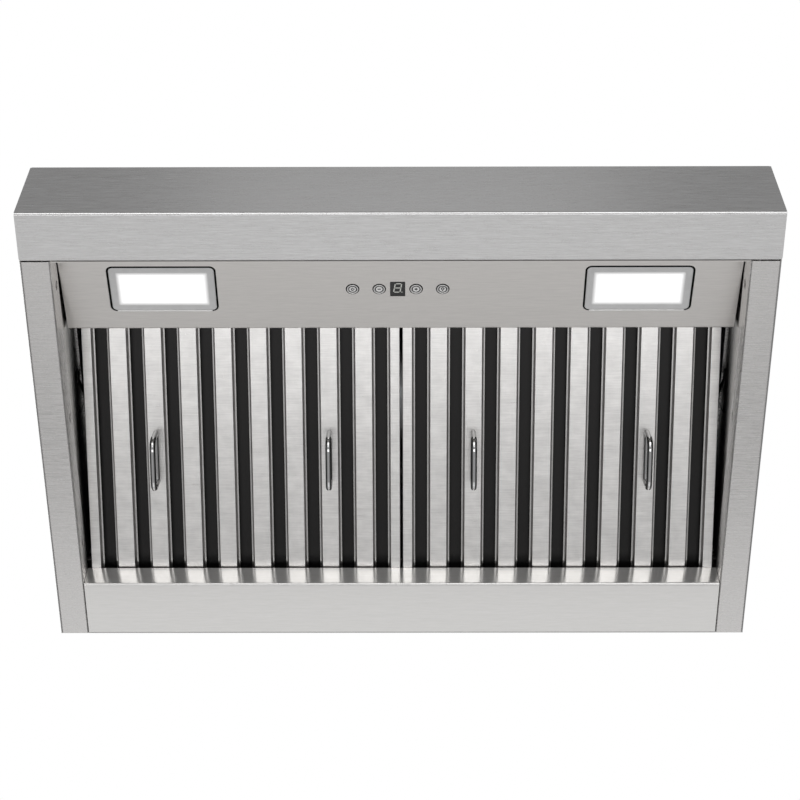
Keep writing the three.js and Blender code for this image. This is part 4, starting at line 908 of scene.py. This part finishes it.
DIGIT_HEIGHT = 11.5 * MM
DIGIT_WIDTH = 6.6 * MM
DIGIT_UP = 1.4 * MM
DIGIT_LEAN = 0.16
SEGMENT = 1.15 * MM
LEVEL_SEGMENT = DIGIT_WIDTH - 1.3 * SEGMENT
UPRIGHT_SEGMENT = DIGIT_HEIGHT / 2 - 0.9 * SEGMENT
POINT = 0.9 * SEGMENT
POINT_X = DIGIT_WIDTH / 2 + 1.7 * SEGMENT


def lit_digit():
    """Seven bars and a point, leaning as such digits do."""
    mesh = bmesh.new()
    for y in (-DIGIT_HEIGHT / 2, 0, DIGIT_HEIGHT / 2):
        bar_of(mesh, LEVEL_SEGMENT, SEGMENT, 0, y)
    for x in (-DIGIT_WIDTH / 2, DIGIT_WIDTH / 2):
        for y in (-DIGIT_HEIGHT / 4, DIGIT_HEIGHT / 4):
            bar_of(mesh, SEGMENT, UPRIGHT_SEGMENT, x, y)
    bar_of(mesh, POINT, POINT, POINT_X, DIGIT_HEIGHT / 2)
    for vert in mesh.verts:
        vert.co.x -= DIGIT_LEAN * vert.co.y
    return mesh


window = plate(*WINDOW, WINDOW_THICKNESS, WINDOW_CORNER, WINDOW_EDGE)
on_panel(window, CONTROL_X, CONTROL_Y, DISPLAY_DEPTH)
smooth(put(window, "digit_window", "hood", DARK_GLASS, ["display_window"]), 40)
digit = on_panel(lit_digit(), CONTROL_X, CONTROL_Y - DIGIT_UP, DISPLAY_DEPTH)
put(digit, "lit_digit", "hood", DIGIT_LIGHT)


# ---------------------------------------------------------------- floor, light and camera

FLOOR_HEIGHT = -2.0
FLOOR_SIZE = 14.0


def staged_floor():
    mesh = bmesh.new()
    bmesh.ops.create_grid(mesh, x_segments=1, y_segments=1, size=FLOOR_SIZE / 2,
                          matrix=Matrix.Translation((0, 0, FLOOR_HEIGHT)))
    data = bpy.data.meshes.new("studio_floor")
    mesh.to_mesh(data)
    mesh.free()
    floor = bpy.data.objects.new("studio_floor", data)
    bpy.context.scene.collection.objects.link(floor)
    nodes = Nodes("floor_paint")
    nodes.set(Base_Color=(0.8, 0.8, 0.8, 1), Roughness=0.9)
    paint(floor, nodes.material)


def white_world(level):
    """Soft even light, with plain white wherever the camera looks past the hood."""
    world = bpy.data.worlds.new("studio_world")
    world.use_nodes = True
    tree = world.node_tree
    tree.nodes.clear()
    path = tree.nodes.new("ShaderNodeLightPath")
    surround = tree.nodes.new("ShaderNodeBackground")
    white = tree.nodes.new("ShaderNodeBackground")
    mix = tree.nodes.new("ShaderNodeMixShader")
    out = tree.nodes.new("ShaderNodeOutputWorld")
    surround.inputs["Color"].default_value = (1, 1, 1, 1)
    surround.inputs["Strength"].default_value = level
    white.inputs["Strength"].default_value = 1.0
    white.inputs["Color"].default_value = (1, 1, 1, 1)
    tree.links.new(path.outputs["Is Camera Ray"], mix.inputs["Fac"])
    tree.links.new(surround.outputs["Background"], mix.inputs[1])
    tree.links.new(white.outputs["Background"], mix.inputs[2])
    tree.links.new(mix.outputs["Shader"], out.inputs["Surface"])
    bpy.context.scene.world = world


def softbox(name, place, target, size, power):
    light = bpy.data.lights.new(name, "AREA")
    light.shape = "RECTANGLE"
    light.size, light.size_y = size
    light.energy = power
    lamp = bpy.data.objects.new(name, light)
    bpy.context.scene.collection.objects.link(lamp)
    lamp.location = place
    lamp.rotation_euler = (Vector(target) - Vector(place)).to_track_quat("-Z", "Y").to_euler()
    lamp.visible_camera = False


staged_floor()
white_world(0.24)
softbox("light_under_front", (0, -0.35, -1.93), (0, -0.35, 0), (2.4, 0.5), 5.5)
softbox("light_under_middle", (0, 0.75, -1.93), (0, 0.75, 0), (3.0, 0.6), 1.95)
softbox("light_under_rear", (0, 1.75, -1.93), (0, 1.2, 0), (3.0, 1.0), 4.9)
softbox("light_front_high", (0, -1.6, 2.4), (0, -0.26, 0.05), (1.0, 0.6), 0.5)
softbox("light_front_low", (0, -3.2, -1.35), (0, 0, 0), (3.6, 1.6), 31)
softbox("light_far_rear", (0, 2.6, -1.3), (0, -0.17, 0.05), (3.2, 1.0), 2.6)
softbox("light_above_left", (-1.8, 1.0, 2.2), (0, 0, 0.15), (1.8, 1.4), 17)
softbox("light_above_right", (2.2, 0.2, 1.6), (0, 0, 0.15), (1.2, 1.4), 9)


FOCAL_PIXELS = 2034.2
IMAGE_PIXELS = 800
SENSOR = 36.0
CAMERA_PLACE = (9.16 * MM, FRONT - 885.70 * MM, -1804.85 * MM)
PITCH = math.radians(58.598)
YAW = math.radians(-0.520)
ROLL = math.radians(0.3605)


def photo_camera():
    ahead = Vector((math.sin(YAW) * math.cos(PITCH), math.cos(YAW) * math.cos(PITCH), math.sin(PITCH)))
    level_right = ahead.cross(Vector((0, 0, 1))).normalized()
    level_up = level_right.cross(ahead)
    right = math.cos(ROLL) * level_right + math.sin(ROLL) * level_up
    up = -math.sin(ROLL) * level_right + math.cos(ROLL) * level_up
    data = bpy.data.cameras.new("photo_camera")
    data.sensor_width = SENSOR
    data.lens = FOCAL_PIXELS * SENSOR / IMAGE_PIXELS
    data.clip_start = 0.05
    data.clip_end = 60
    camera = bpy.data.objects.new("photo_camera", data)
    bpy.context.scene.collection.objects.link(camera)
    turn = Matrix((right, up, -ahead)).transposed().to_4x4()
    camera.matrix_world = Matrix.Translation(CAMERA_PLACE) @ turn
    bpy.context.scene.camera = camera


photo_camera()
bpy.context.scene.view_settings.view_transform = "Standard"
